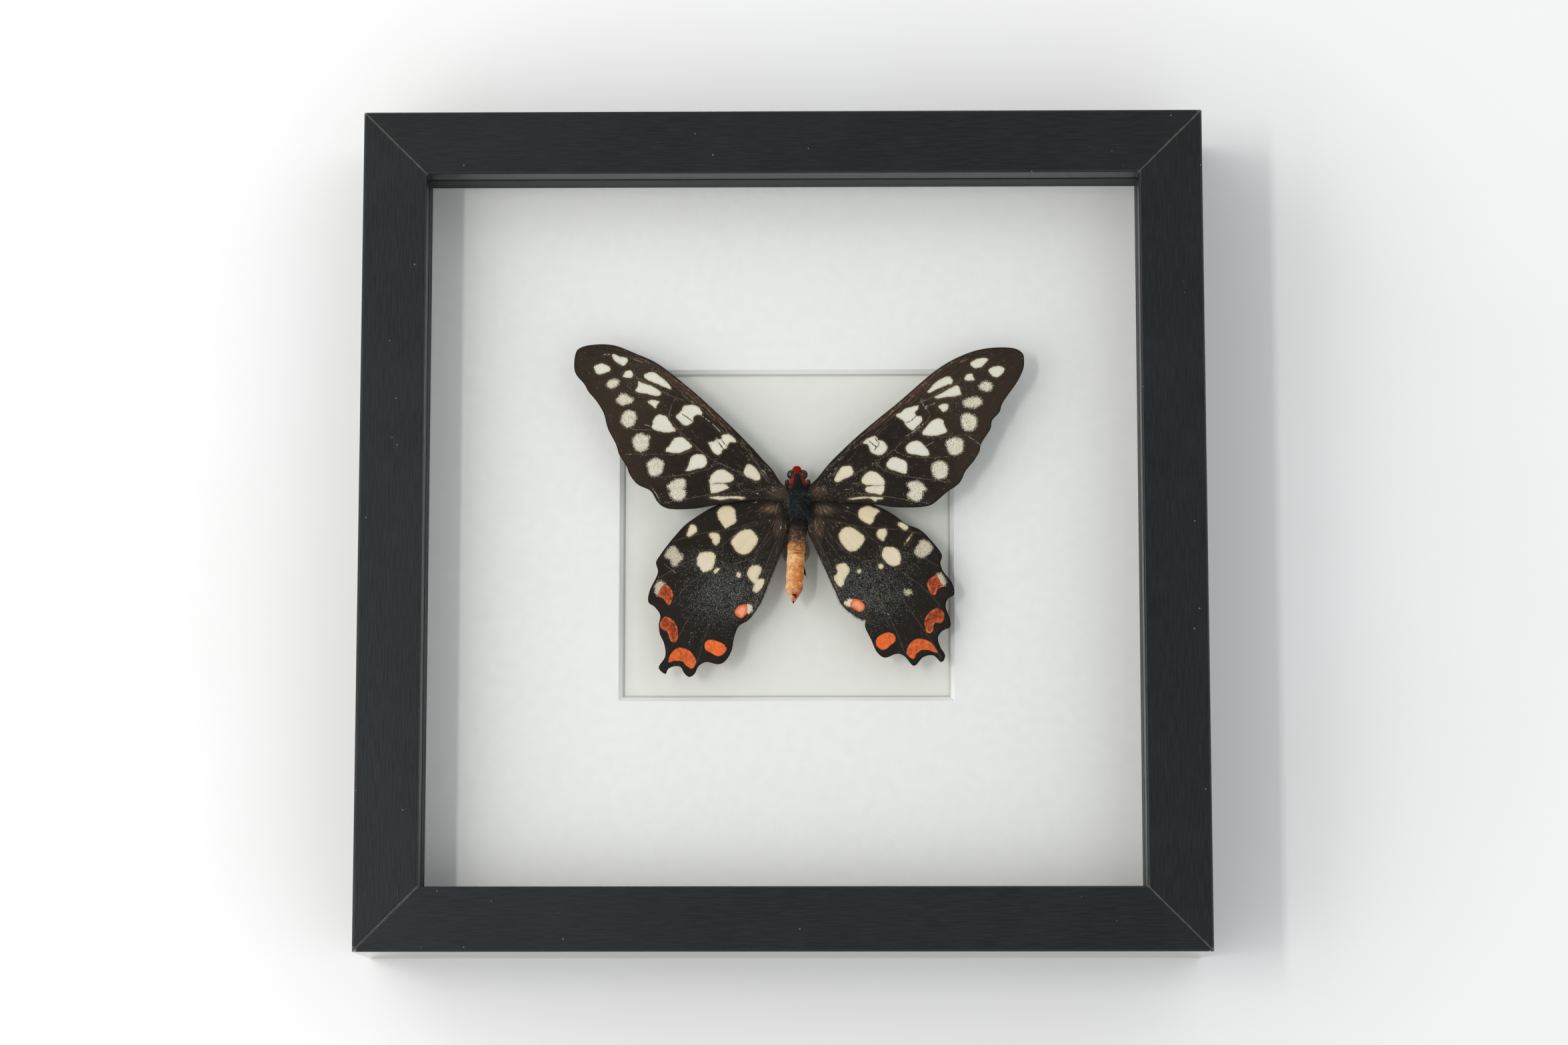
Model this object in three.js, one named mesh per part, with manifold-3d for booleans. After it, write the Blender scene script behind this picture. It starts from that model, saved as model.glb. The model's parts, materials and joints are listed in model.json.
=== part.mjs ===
// A butterfly specimen in a square, deep box frame. Millimetres.
// The frame lies on its back: +Z comes out of the glass, +Y is the top of the picture, +X is its right side.
// The origin is in the middle of the back, on the surface that the frame lies on.
import * as THREE from 'three';
import { mergeVertices } from 'three/addons/utils/BufferGeometryUtils.js';
import Module from 'manifold-3d';

const manifold = await Module();
manifold.setup();

// ---- driving dimensions of the case ----
const FRAME_SIZE = 250;
const FRAME_DEPTH = 45;
const RAIL_FACE = 19;
const RAIL_WALL = 11;
const LIP_DEPTH = 7.5;
const EDGE_ROUND = 0.7;
const MITRE_GAP = 0.12;
const FIT_GAP = 0.3;
const GLASS_THICKNESS = 2;
const MAT_FACE_DEPTH = 20;
const MAT_THICKNESS = 1.6;
const CARD_THICKNESS = 1.2;
const WINDOW_SIZE = 100;
const WINDOW_OFFSET_X = 1;
const REAR_SPACER_WIDTH = 5;
const PANEL_THICKNESS = 2.5;
const PANEL_RECESS = 5;
const TAB = { width: 7, length: 13, thickness: 0.5, corner: 1.5 };
const TAB_OFFSET = 62;
const HANGER = { width: 46, height: 16, thickness: 0.8, y: 84, slotWidth: 18, slotHeight: 5 };
const RIVET = { radius: 2.4, height: 1.1, spread: 16.5 };

// ---- driving dimensions of the specimen ----
const THORAX = { x: 4.5, y: 7.2, z: 30.4, halfWidth: 3.6, halfLength: 5.6, halfHeight: 3.9 };
const HEAD = { x: 4.3, y: 16, z: 30.5, halfWidth: 2.1, halfLength: 2.1, halfHeight: 2 };
const EYE = { spread: 2, y: 17.4, z: 30.9, halfWidth: 1.2, halfLength: 1.2, halfHeight: 1.25 };
const FACE_TUFT = { x: 4.15, y: 18.4, z: 30.7, halfWidth: 1.1, halfLength: 1.35, halfHeight: 1.1 };
const COLLAR = { x: 4.5, y: 12.6, z: 30.7, halfWidth: 3.4, halfLength: 2.4, halfHeight: 2.6 };
const SHOULDER = { y: 14.6, z: 30.9, spread: 3.2, halfWidth: 0.9, halfLength: 1.3, halfHeight: 1 };
const ABDOMEN = { topX: 4.35, topY: 3.6, tipX: 3.1, tipY: -21.4, z: 30 };
const ABDOMEN_RINGS = 7;
const LEG_RADIUS = 0.28;
const BLOCK = { x: 3.7, y: -5, radius: 4.2, top: 26.9 };
const WING_THICKNESS = 0.35;
const WING_GRID = 5;
const FOREWING_LEVEL = { root: 32.4, tip: 33.6, camber: 0.9 };
const HINDWING_LEVEL = { root: 31.3, tip: 30.2, camber: 0.8 };

// ---- levels, worked out from the dimensions ----
const HALF = FRAME_SIZE / 2;
const GLASS_TOP = FRAME_DEPTH - LIP_DEPTH - FIT_GAP;
const GLASS_BOTTOM = GLASS_TOP - GLASS_THICKNESS;
const MAT_TOP = FRAME_DEPTH - MAT_FACE_DEPTH;
const MAT_BOTTOM = MAT_TOP - MAT_THICKNESS;
const CARD_TOP = MAT_BOTTOM - FIT_GAP;
const CARD_BOTTOM = CARD_TOP - CARD_THICKNESS;
const PANEL_TOP = PANEL_RECESS + PANEL_THICKNESS;
const REBATE_HALF = HALF - RAIL_WALL - FIT_GAP;
const LIP_HALF = HALF - RAIL_FACE;

// ---- outlines of the wings, seen from the front, in the frame's X and Y ----
const FOREWING_LEFT = [
  [0.3, 12.5], [-0.7, 14.5], [-3.2, 18.3], [-5.8, 21.1], [-8.4, 24.1], [-16.6, 32.4], [-26.5, 41.6],
  [-37.7, 50.4], [-43.7, 53.2], [-49.3, 55.6], [-52.8, 56.2], [-56.2, 56.1], [-59.5, 55.5], [-61.5, 54.3],
  [-62.3, 49.7], [-61.8, 47.3], [-59, 43.8], [-58.1, 42], [-55.6, 39], [-53.4, 35.3], [-52.1, 30.7],
  [-49.6, 25.7], [-48.7, 22.8], [-46.3, 18.9], [-45.7, 17.1], [-43.3, 13.9], [-39.2, 11.7], [-37.3, 8.6],
  [-35.6, 7.1], [-33.4, 6.4], [-26.5, 6.5], [-21.5, 7.3], [-14.7, 8.4], [-6.8, 9.3], [0.3, 9],
];
const FOREWING_RIGHT = [
  [8.9, 9.4], [14, 8.8], [19, 8.3], [23.9, 8], [28.9, 7.5], [32.4, 6.9], [40.3, 6.8], [43.2, 7.2],
  [44.9, 8], [48.5, 11.1], [52.4, 14], [54.4, 17.8], [56.8, 20.7], [58.4, 23.4], [58.9, 25.6],
  [61.8, 30.5], [62.2, 32.7], [64.5, 35.4], [65.2, 37.7], [70, 44.8], [71.7, 48.6], [71.9, 50.6],
  [71.6, 52.9], [69.6, 54.4], [63.7, 54.9], [57.9, 54.1], [52.2, 51.9], [46, 48.2], [34.6, 38.5],
  [22.3, 28.3], [13.9, 20.2], [10.4, 15.9], [8.9, 13.1],
];
const HINDWING_LEFT = [
  [0, 9.4], [-6.8, 10], [-12.8, 9.6], [-17.7, 8.6], [-20.9, 7.2], [-25.7, 4.4], [-29.4, 1.6],
  [-36.5, -7.1], [-37.7, -9.3], [-37.1, -12.1], [-39.7, -18.2], [-39.9, -21.1], [-38.1, -22.5],
  [-36.4, -25], [-36.8, -27.9], [-36.5, -30.6], [-35.2, -33.5], [-34.9, -37.3], [-36.8, -40.7],
  [-34.7, -42.5], [-34.1, -41.1], [-32, -40.2], [-30.3, -40.5], [-29.2, -42.3], [-27.7, -43.4],
  [-26.2, -42.5], [-25, -40.2], [-22.8, -39], [-19.1, -39.7], [-17.3, -38.9], [-15.3, -35.8],
  [-14.5, -31.8], [-13.1, -28.4], [-10.3, -26.6], [-7, -22.2], [-4.4, -16], [-1.7, -9.1], [-0.1, -4.7],
  [0.3, -0.8], [0, 4.8],
];
const HINDWING_RIGHT = [
  [8.9, 5.8], [8.2, 0.8], [8.7, -2.1], [11.1, -8.4], [15.5, -18.1], [17.7, -22.4], [21.2, -25.3],
  [23.3, -26.3], [24.4, -26.4], [24.3, -28.5], [26, -32.2], [27.9, -36.3], [30.1, -37.8], [33.8, -36.6],
  [35.8, -37.2], [38.8, -40.2], [41.5, -37.6], [44.5, -37.1], [46.9, -39.1], [48, -37.2], [46.6, -34.6],
  [45.9, -31.8], [47.1, -29.9], [49.5, -28.6], [49.5, -26.5], [48.2, -22.5], [48.8, -20.4], [50.7, -19],
  [50.3, -16], [47.3, -11.7], [46.7, -9.5], [47.2, -7.4], [44.8, -3.8], [40.6, 0.4], [36.7, 2], [32.7, 5],
  [28.5, 7.2], [24.9, 8.6], [19, 9.6], [13, 10.2], [8.9, 9.4],
];

// ---- materials ----
function finish(color, roughness, metalness = 0) {
  return new THREE.MeshStandardMaterial({ color, roughness, metalness });
}

const blackLacquer = finish(0x25292b, 0.5);
const blackSpacer = finish(0x1b1d1e, 0.8);
const clearGlass = finish(0xe9f2ee, 0.02);
clearGlass.transparent = true;
clearGlass.opacity = 0.15;
const whiteBoard = finish(0xe6e5e0, 0.9);
const paleCard = finish(0xdcdedc, 0.9);
const paleWood = finish(0xcbb592, 0.8);
const fibreboard = finish(0x8a6440, 0.8);
const zincSteel = finish(0xb4b8b9, 0.35, 1);
const cork = finish(0x7d7363, 0.95);
const bodyFur = finish(0x20262a, 0.9);
const wingScales = finish(0x2e2622, 0.8);
const hindwingScales = finish(0x23201d, 0.8);
const legShell = finish(0x1c1613, 0.5);

const model = new THREE.Group();

function place(name, geometry, material) {
  const mesh = new THREE.Mesh(geometry, material);
  mesh.name = name;
  model.add(mesh);
  return mesh;
}

// ---- joining and cutting ----
function toSolid(geometry) {
  const bare = geometry.clone();
  bare.deleteAttribute('normal');
  bare.deleteAttribute('uv');
  const merged = mergeVertices(bare, 1e-4);
  const vertProperties = new Float32Array(merged.attributes.position.array);
  const triVerts = new Uint32Array(merged.index.array);
  return new manifold.Manifold(new manifold.Mesh({ numProp: 3, vertProperties, triVerts }));
}

function toGeometry(solid) {
  const mesh = solid.getMesh();
  const geometry = new THREE.BufferGeometry();
  geometry.setAttribute('position', new THREE.BufferAttribute(new Float32Array(mesh.vertProperties), 3));
  geometry.setIndex(Array.from(mesh.triVerts));
  geometry.computeVertexNormals();
  return geometry;
}

const joined = (...geometries) => toGeometry(geometries.map(toSolid).reduce((all, next) => all.add(next)));

// ---- simple shapes ----
function polygonShape(points) {
  return new THREE.Shape(points.map(([x, y]) => new THREE.Vector2(x, y)));
}

function plate(shape, bottom, thickness) {
  const options = { depth: thickness, bevelEnabled: false, curveSegments: 6 };
  const geometry = new THREE.ExtrudeGeometry(shape, options);
  return geometry.translate(0, 0, bottom);
}

function block(x0, x1, y0, y1, z0, z1) {
  const geometry = new THREE.BoxGeometry(x1 - x0, y1 - y0, z1 - z0);
  return geometry.translate((x0 + x1) / 2, (y0 + y1) / 2, (z0 + z1) / 2);
}

function ellipsoid({ x, y, z, halfWidth, halfLength, halfHeight }, around = 16, along = 10) {
  const geometry = new THREE.SphereGeometry(1, around, along);
  return geometry.scale(halfWidth, halfLength, halfHeight).translate(x, y, z);
}

// ---- the four rails: one moulding profile, mitred at both ends ----
function railProfile() {
  const shape = new THREE.Shape();
  const top = FRAME_DEPTH;
  const quarter = Math.PI / 2;
  shape.moveTo(0, 0);
  shape.lineTo(0, top - EDGE_ROUND);
  shape.absarc(EDGE_ROUND, top - EDGE_ROUND, EDGE_ROUND, Math.PI, quarter, true);
  shape.absarc(RAIL_FACE - EDGE_ROUND, top - EDGE_ROUND, EDGE_ROUND, quarter, 0, true);
  shape.lineTo(RAIL_FACE, top - LIP_DEPTH);
  shape.lineTo(RAIL_WALL, top - LIP_DEPTH);
  shape.lineTo(RAIL_WALL, 0);
  return shape;
}

// The profile's x is the distance in from the outer face. Each end is moved back by it, for the mitre.
function rail() {
  const options = { depth: FRAME_SIZE, bevelEnabled: false, curveSegments: 4 };
  const geometry = new THREE.ExtrudeGeometry(railProfile(), options);
  const position = geometry.attributes.position;
  for (let i = 0; i < position.count; i += 1) {
    const inward = position.getX(i);
    const side = position.getZ(i) > HALF ? 1 : -1;
    position.setXYZ(i, side * (HALF - inward - MITRE_GAP), inward - HALF, position.getY(i));
  }
  return geometry;
}

function addRails() {
  const names = ['rail_bottom', 'rail_right', 'rail_top', 'rail_left'];
  names.forEach((name, turn) => {
    place(name, rail().rotateZ(turn * Math.PI / 2), blackLacquer);
  });
}

// ---- glass, spacers, mat, card and back panel ----
function addSpacers(prefix, material, outer, inner, bottom, top) {
  const across = outer;
  const between = inner - FIT_GAP;
  place(`${prefix}_top`, block(-across, across, inner, outer, bottom, top), material);
  place(`${prefix}_bottom`, block(-across, across, -outer, -inner, bottom, top), material);
  place(`${prefix}_left`, block(-outer, -inner, -between, between, bottom, top), material);
  place(`${prefix}_right`, block(inner, outer, -between, between, bottom, top), material);
}

function squareFrustum(frontSize, backSize, height) {
  const corner = Math.SQRT1_2;
  const geometry = new THREE.CylinderGeometry(frontSize * corner, backSize * corner, height, 4, 1);
  return geometry.rotateY(Math.PI / 4).rotateX(Math.PI / 2);
}

// The window is cut at 45 degrees, wider at the front.
function matBoard() {
  const board = block(-REBATE_HALF, REBATE_HALF, -REBATE_HALF, REBATE_HALF, MAT_BOTTOM, MAT_TOP);
  const extra = 1;
  const height = MAT_THICKNESS + 2 * extra;
  const window = squareFrustum(WINDOW_SIZE + 2 * extra, WINDOW_SIZE - 2 * (MAT_THICKNESS + extra), height);
  window.translate(WINDOW_OFFSET_X, 0, (MAT_TOP + MAT_BOTTOM) / 2);
  return toGeometry(toSolid(board).subtract(toSolid(window)));
}

function addInnerLayers() {
  const r = REBATE_HALF;
  place('glass_pane', block(-r, r, -r, r, GLASS_BOTTOM, GLASS_TOP), clearGlass);
  addSpacers('front_spacer', blackSpacer, r, LIP_HALF, MAT_TOP + FIT_GAP, GLASS_BOTTOM - FIT_GAP);
  place('mat_board', matBoard(), whiteBoard);
  place('backing_card', block(-r, r, -r, r, CARD_BOTTOM, CARD_TOP), paleCard);
  const rearInner = r - REAR_SPACER_WIDTH;
  addSpacers('rear_spacer', paleWood, r, rearInner, PANEL_TOP + FIT_GAP, CARD_BOTTOM - FIT_GAP);
  place('back_panel', block(-r, r, -r, r, PANEL_RECESS, PANEL_TOP), fibreboard);
}

// ---- what holds the back panel in, and the hanger ----
function tabShape() {
  const half = TAB.width / 2;
  return polygonShape([
    [-half, 0], [half, 0], [half, TAB.length - TAB.corner * 2], [half - TAB.corner, TAB.length],
    [TAB.corner - half, TAB.length], [-half, TAB.length - TAB.corner * 2],
  ]);
}

function addRetainingTabs() {
  const bottom = PANEL_RECESS - FIT_GAP - TAB.thickness;
  for (let i = 0; i < 8; i += 1) {
    const along = i % 2 === 0 ? -TAB_OFFSET : TAB_OFFSET;
    const tab = plate(tabShape(), bottom, TAB.thickness).translate(along, -REBATE_HALF, 0);
    place(`retaining_tab_${i + 1}`, tab.rotateZ(Math.floor(i / 2) * Math.PI / 2), zincSteel);
  }
}

function roundedRectangle(width, height, radius, x = 0, y = 0, into = new THREE.Shape()) {
  const w = width / 2 - radius;
  const h = height / 2 - radius;
  const quarter = Math.PI / 2;
  into.absarc(x + w, y + h, radius, 0, quarter, false);
  into.absarc(x - w, y + h, radius, quarter, 2 * quarter, false);
  into.absarc(x - w, y - h, radius, 2 * quarter, 3 * quarter, false);
  into.absarc(x + w, y - h, radius, 3 * quarter, 4 * quarter, false);
  into.closePath();
  return into;
}

function addHanger() {
  const top = PANEL_RECESS - FIT_GAP;
  const bottom = top - HANGER.thickness;
  const shape = roundedRectangle(HANGER.width, HANGER.height, 3);
  const slotY = -HANGER.height / 6;
  shape.holes.push(roundedRectangle(HANGER.slotWidth, HANGER.slotHeight, 2, 0, slotY, new THREE.Path()));
  place('hanger_plate', plate(shape, bottom, HANGER.thickness).translate(0, HANGER.y, 0), zincSteel);
  for (const [side, sign] of [['left', -1], ['right', 1]]) {
    const head = new THREE.CylinderGeometry(RIVET.radius, RIVET.radius * 0.8, RIVET.height, 16);
    head.rotateX(Math.PI / 2).translate(sign * RIVET.spread, HANGER.y, bottom - FIT_GAP - RIVET.height / 2);
    place(`hanger_rivet_${side}`, head, zincSteel);
  }
}

// ---- the specimen's body ----
// Radius of the abdomen along its length, from the waist (0) to the tip (1), with a crease between rings.
function abdomenRadius(t) {
  const swell = 2.6 - 0.1 * Math.cos(t * 9);
  const coneStart = 0.83;
  const taper = t > coneStart ? Math.max(0.06, 1 - ((t - coneStart) / (1 - coneStart)) ** 1.15) : 1;
  const crease = 1 - 0.05 * (1 - Math.abs(Math.sin(t * Math.PI * ABDOMEN_RINGS))) * (t < coneStart ? 1 : 0);
  return swell * taper * crease;
}

function abdomen() {
  const length = Math.hypot(ABDOMEN.tipX - ABDOMEN.topX, ABDOMEN.tipY - ABDOMEN.topY);
  const steps = ABDOMEN_RINGS * 3;
  const profile = [new THREE.Vector2(0, 0)];
  for (let i = 0; i <= steps; i += 1) {
    profile.push(new THREE.Vector2(abdomenRadius(i / steps), length * i / steps));
  }
  profile.push(new THREE.Vector2(0, length));
  const geometry = new THREE.LatheGeometry(profile, 18);
  const lean = Math.atan2(ABDOMEN.topX - ABDOMEN.tipX, ABDOMEN.topY - ABDOMEN.tipY);
  geometry.rotateX(Math.PI).rotateZ(-lean);
  return geometry.translate(ABDOMEN.topX, ABDOMEN.topY, ABDOMEN.z);
}

function addBody() {
  const pieces = [
    ellipsoid(THORAX, 24, 14),
    ellipsoid(COLLAR),
    ellipsoid(HEAD),
    ellipsoid(FACE_TUFT, 12, 8),
    abdomen(),
  ];
  for (const side of [-1, 1]) {
    pieces.push(ellipsoid({ ...EYE, x: HEAD.x + side * EYE.spread }));
    pieces.push(ellipsoid({ ...SHOULDER, x: HEAD.x + side * SHOULDER.spread }, 8, 6));
  }
  place('butterfly_body', joined(...pieces), bodyFur);
}

// The leg runs back from under the thorax, hidden by the abdomen, and its foot shows beside it.
function addLeg() {
  const path = new THREE.CatmullRomCurve3([
    new THREE.Vector3(5.9, 3.4, 27.1),
    new THREE.Vector3(6.3, 0, 27.3),
    new THREE.Vector3(6.4, -5, 27.6),
    new THREE.Vector3(6.25, -9.3, 27.8),
    new THREE.Vector3(6.75, -11.8, 27.9),
    new THREE.Vector3(7.3, -13.2, 27.6),
  ]);
  const section = new THREE.Shape().absarc(0, 0, LEG_RADIUS, 0, Math.PI * 2);
  const options = { steps: 15, curveSegments: 6, bevelEnabled: false, extrudePath: path };
  place('hind_leg', new THREE.ExtrudeGeometry(section, options), legShell);
}

function addMountingBlock() {
  const height = BLOCK.top - CARD_TOP - FIT_GAP;
  const geometry = new THREE.CylinderGeometry(BLOCK.radius - 0.4, BLOCK.radius, height, 24);
  geometry.rotateX(Math.PI / 2);
  const bottom = CARD_TOP + FIT_GAP;
  place('mounting_block', geometry.translate(BLOCK.x, BLOCK.y, bottom + height / 2), cork);
}

// ---- wings: a thin curved slab, cut out along the wing's outline ----
function wingHeight(x, y, root, level, span) {
  const along = Math.min(1, Math.hypot(x - root[0], y - root[1]) / span);
  return level.root + (level.tip - level.root) * along + level.camber * Math.sin(Math.PI * along);
}

function smoothOutline(points, steps) {
  const corners = points.map(([x, y]) => new THREE.Vector3(x, y, 0));
  const curve = new THREE.CatmullRomCurve3(corners, true, 'centripetal');
  return curve.getPoints(steps).slice(0, -1).map((p) => new THREE.Vector2(p.x, p.y));
}

function wing(outline, root, level, span) {
  const edge = smoothOutline(outline, outline.length * 2);
  const box = new THREE.Box2().setFromPoints(edge).expandByScalar(2);
  const size = box.getSize(new THREE.Vector2());
  const middle = box.getCenter(new THREE.Vector2());
  const columns = Math.ceil(size.x / WING_GRID);
  const rows = Math.ceil(size.y / WING_GRID);
  const slab = new THREE.BoxGeometry(size.x, size.y, WING_THICKNESS, columns, rows, 1);
  slab.translate(middle.x, middle.y, 0);
  const position = slab.attributes.position;
  for (let i = 0; i < position.count; i += 1) {
    const lift = wingHeight(position.getX(i), position.getY(i), root, level, span);
    position.setZ(i, position.getZ(i) + lift);
  }
  const cutter = plate(new THREE.Shape(edge), MAT_TOP, FRAME_DEPTH - MAT_TOP);
  return toGeometry(toSolid(slab).intersect(toSolid(cutter)));
}

function addWings() {
  const leftRoot = [0.3, 10.5];
  const rightRoot = [8.9, 10.5];
  const foreSpan = 78;
  const hindSpan = 62;
  place('forewing_left', wing(FOREWING_LEFT, leftRoot, FOREWING_LEVEL, foreSpan), wingScales);
  place('forewing_right', wing(FOREWING_RIGHT, rightRoot, FOREWING_LEVEL, foreSpan), wingScales);
  place('hindwing_left', wing(HINDWING_LEFT, leftRoot, HINDWING_LEVEL, hindSpan), hindwingScales);
  place('hindwing_right', wing(HINDWING_RIGHT, rightRoot, HINDWING_LEVEL, hindSpan), hindwingScales);
}

addRails();
addInnerLayers();
addRetainingTabs();
addHanger();
addMountingBlock();
addBody();
addLeg();
addWings();

export default model;
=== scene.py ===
"""A spread swallowtail butterfly in a black box frame, behind glass and a white window mat.

The tables are in millimetres, the scene in metres.
"""
import json
import math
from functools import partial

import bpy
import numpy as np
from mathutils import Matrix, Vector
from mathutils.geometry import delaunay_2d_cdt

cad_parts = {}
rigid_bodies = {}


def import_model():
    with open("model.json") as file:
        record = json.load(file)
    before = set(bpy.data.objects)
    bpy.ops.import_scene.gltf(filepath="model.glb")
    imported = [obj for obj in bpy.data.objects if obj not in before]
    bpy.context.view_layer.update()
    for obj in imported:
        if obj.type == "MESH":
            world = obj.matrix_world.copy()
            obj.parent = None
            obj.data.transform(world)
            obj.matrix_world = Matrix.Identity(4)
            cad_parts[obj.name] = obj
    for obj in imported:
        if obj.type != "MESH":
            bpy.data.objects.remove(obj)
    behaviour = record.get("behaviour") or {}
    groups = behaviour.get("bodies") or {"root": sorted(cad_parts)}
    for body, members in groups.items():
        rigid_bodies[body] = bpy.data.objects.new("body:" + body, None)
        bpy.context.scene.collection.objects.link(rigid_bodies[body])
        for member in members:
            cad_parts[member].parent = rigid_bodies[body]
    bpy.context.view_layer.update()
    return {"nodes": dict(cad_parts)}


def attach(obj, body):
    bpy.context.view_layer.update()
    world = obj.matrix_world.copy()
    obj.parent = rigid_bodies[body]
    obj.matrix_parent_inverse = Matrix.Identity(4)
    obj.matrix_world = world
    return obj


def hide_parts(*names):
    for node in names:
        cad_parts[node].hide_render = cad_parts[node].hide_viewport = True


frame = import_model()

MM = 0.001
DOME_LEAN = 1.35  # brightness of the dome at the right, against 1 overhead
FAR = 9.0  # mm: distances on the wings count up to here
ROW_HEIGHT = 0.866  # of a triangular grid, for points 1 apart

bl_info = {
    "name": "Framed butterfly specimen",
    "version": (1, 0, 0),
    "blender": (4, 5, 0),
    "location": "View3D > Sidebar > Specimen",
    "description": "Builds the butterfly, the finishes of its box frame and a pale studio",
    "category": "Object",
}

# ---- outlines of the wings, seen from the front ----
FOREWING_LEFT = [
    (1.6, 12.3), (-0.7, 14.5), (-3.2, 18.3), (-5.8, 21.1), (-8.4, 24.1), (-16.6, 32.4), (-26.5, 41.6),
    (-37.7, 50.4), (-43.7, 53.2), (-49.3, 55.6), (-52.8, 56.2), (-56.2, 56.1), (-59.5, 55.5), (-61.5, 54.3),
    (-62.3, 49.7), (-61.8, 47.3), (-59, 43.8), (-58.1, 42), (-55.6, 39), (-53.4, 35.3), (-52.1, 30.7),
    (-49.6, 25.7), (-48.7, 22.8), (-46.3, 18.9), (-45.7, 17.1), (-43.3, 13.9), (-39.2, 11.7), (-37.3, 8.6),
    (-35.6, 7.1), (-33.4, 6.4), (-26.5, 6.5), (-21.5, 7.3), (-14.7, 8.4), (-6.8, 9.3), (1.6, 9),
]
FOREWING_RIGHT = [
    (7.5, 9.3), (14, 8.8), (19, 8.3), (23.9, 8), (28.9, 7.5), (32.4, 6.9), (40.3, 6.8), (43.2, 7.2),
    (44.9, 8), (48.5, 11.1), (52.4, 14), (54.4, 17.8), (56.8, 20.7), (58.4, 23.4), (58.9, 25.6),
    (61.8, 30.5), (62.2, 32.7), (64.5, 35.4), (65.2, 37.7), (70, 44.8), (71.7, 48.6), (71.9, 50.6),
    (71.6, 52.9), (69.6, 54.4), (63.7, 54.9), (57.9, 54.1), (52.2, 51.9), (46, 48.2), (34.6, 38.5),
    (22.3, 28.3), (13.9, 20.2), (10.4, 15.9), (7.5, 12.7),
]
HINDWING_LEFT = [
    (1.5, 9.3), (-6.8, 10), (-12.8, 9.6), (-17.7, 8.6), (-20.9, 7.2), (-25.7, 4.4), (-29.4, 1.6),
    (-36.5, -7.1), (-37.7, -9.3), (-37.1, -12.1), (-39.7, -18.2), (-39.9, -21.1), (-38.1, -22.5),
    (-36.4, -25), (-36.8, -27.9), (-36.5, -30.6), (-35.2, -33.5), (-34.9, -37.3), (-36.8, -40.7),
    (-34.7, -42.5), (-34.1, -41.1), (-32, -40.2), (-30.3, -40.5), (-29.2, -42.3), (-27.7, -43.4),
    (-26.2, -42.5), (-25, -40.2), (-22.8, -39), (-19.1, -39.7), (-17.3, -38.9), (-15.3, -35.8),
    (-14.5, -31.8), (-13.1, -28.4), (-10.3, -26.6), (-7, -22.2), (-4.4, -16), (-1.7, -9.1), (-0.1, -4.7),
    (1.0, -0.8), (1.7, 4.8),
]
HINDWING_RIGHT = [
    (7.2, 5.8), (7.3, 0.8), (8.3, -2.1), (11.1, -8.4), (15.5, -18.1), (17.7, -22.4), (21.2, -25.3),
    (23.3, -26.3), (24.4, -26.4), (24.3, -28.5), (26, -32.2), (27.9, -36.3), (30.1, -37.8), (33.8, -36.6),
    (35.8, -37.2), (38.8, -40.2), (41.5, -37.6), (44.5, -37.1), (46.9, -39.1), (48, -37.2), (46.6, -34.6),
    (45.9, -31.8), (47.1, -29.9), (49.5, -28.6), (49.5, -26.5), (48.2, -22.5), (48.8, -20.4), (50.7, -19),
    (50.3, -16), (47.3, -11.7), (46.7, -9.5), (47.2, -7.4), (44.8, -3.8), (40.6, 0.4), (36.7, 2), (32.7, 5),
    (28.5, 7.2), (24.9, 8.6), (19, 9.6), (13, 10.2), (7.3, 9.4),
]

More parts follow.
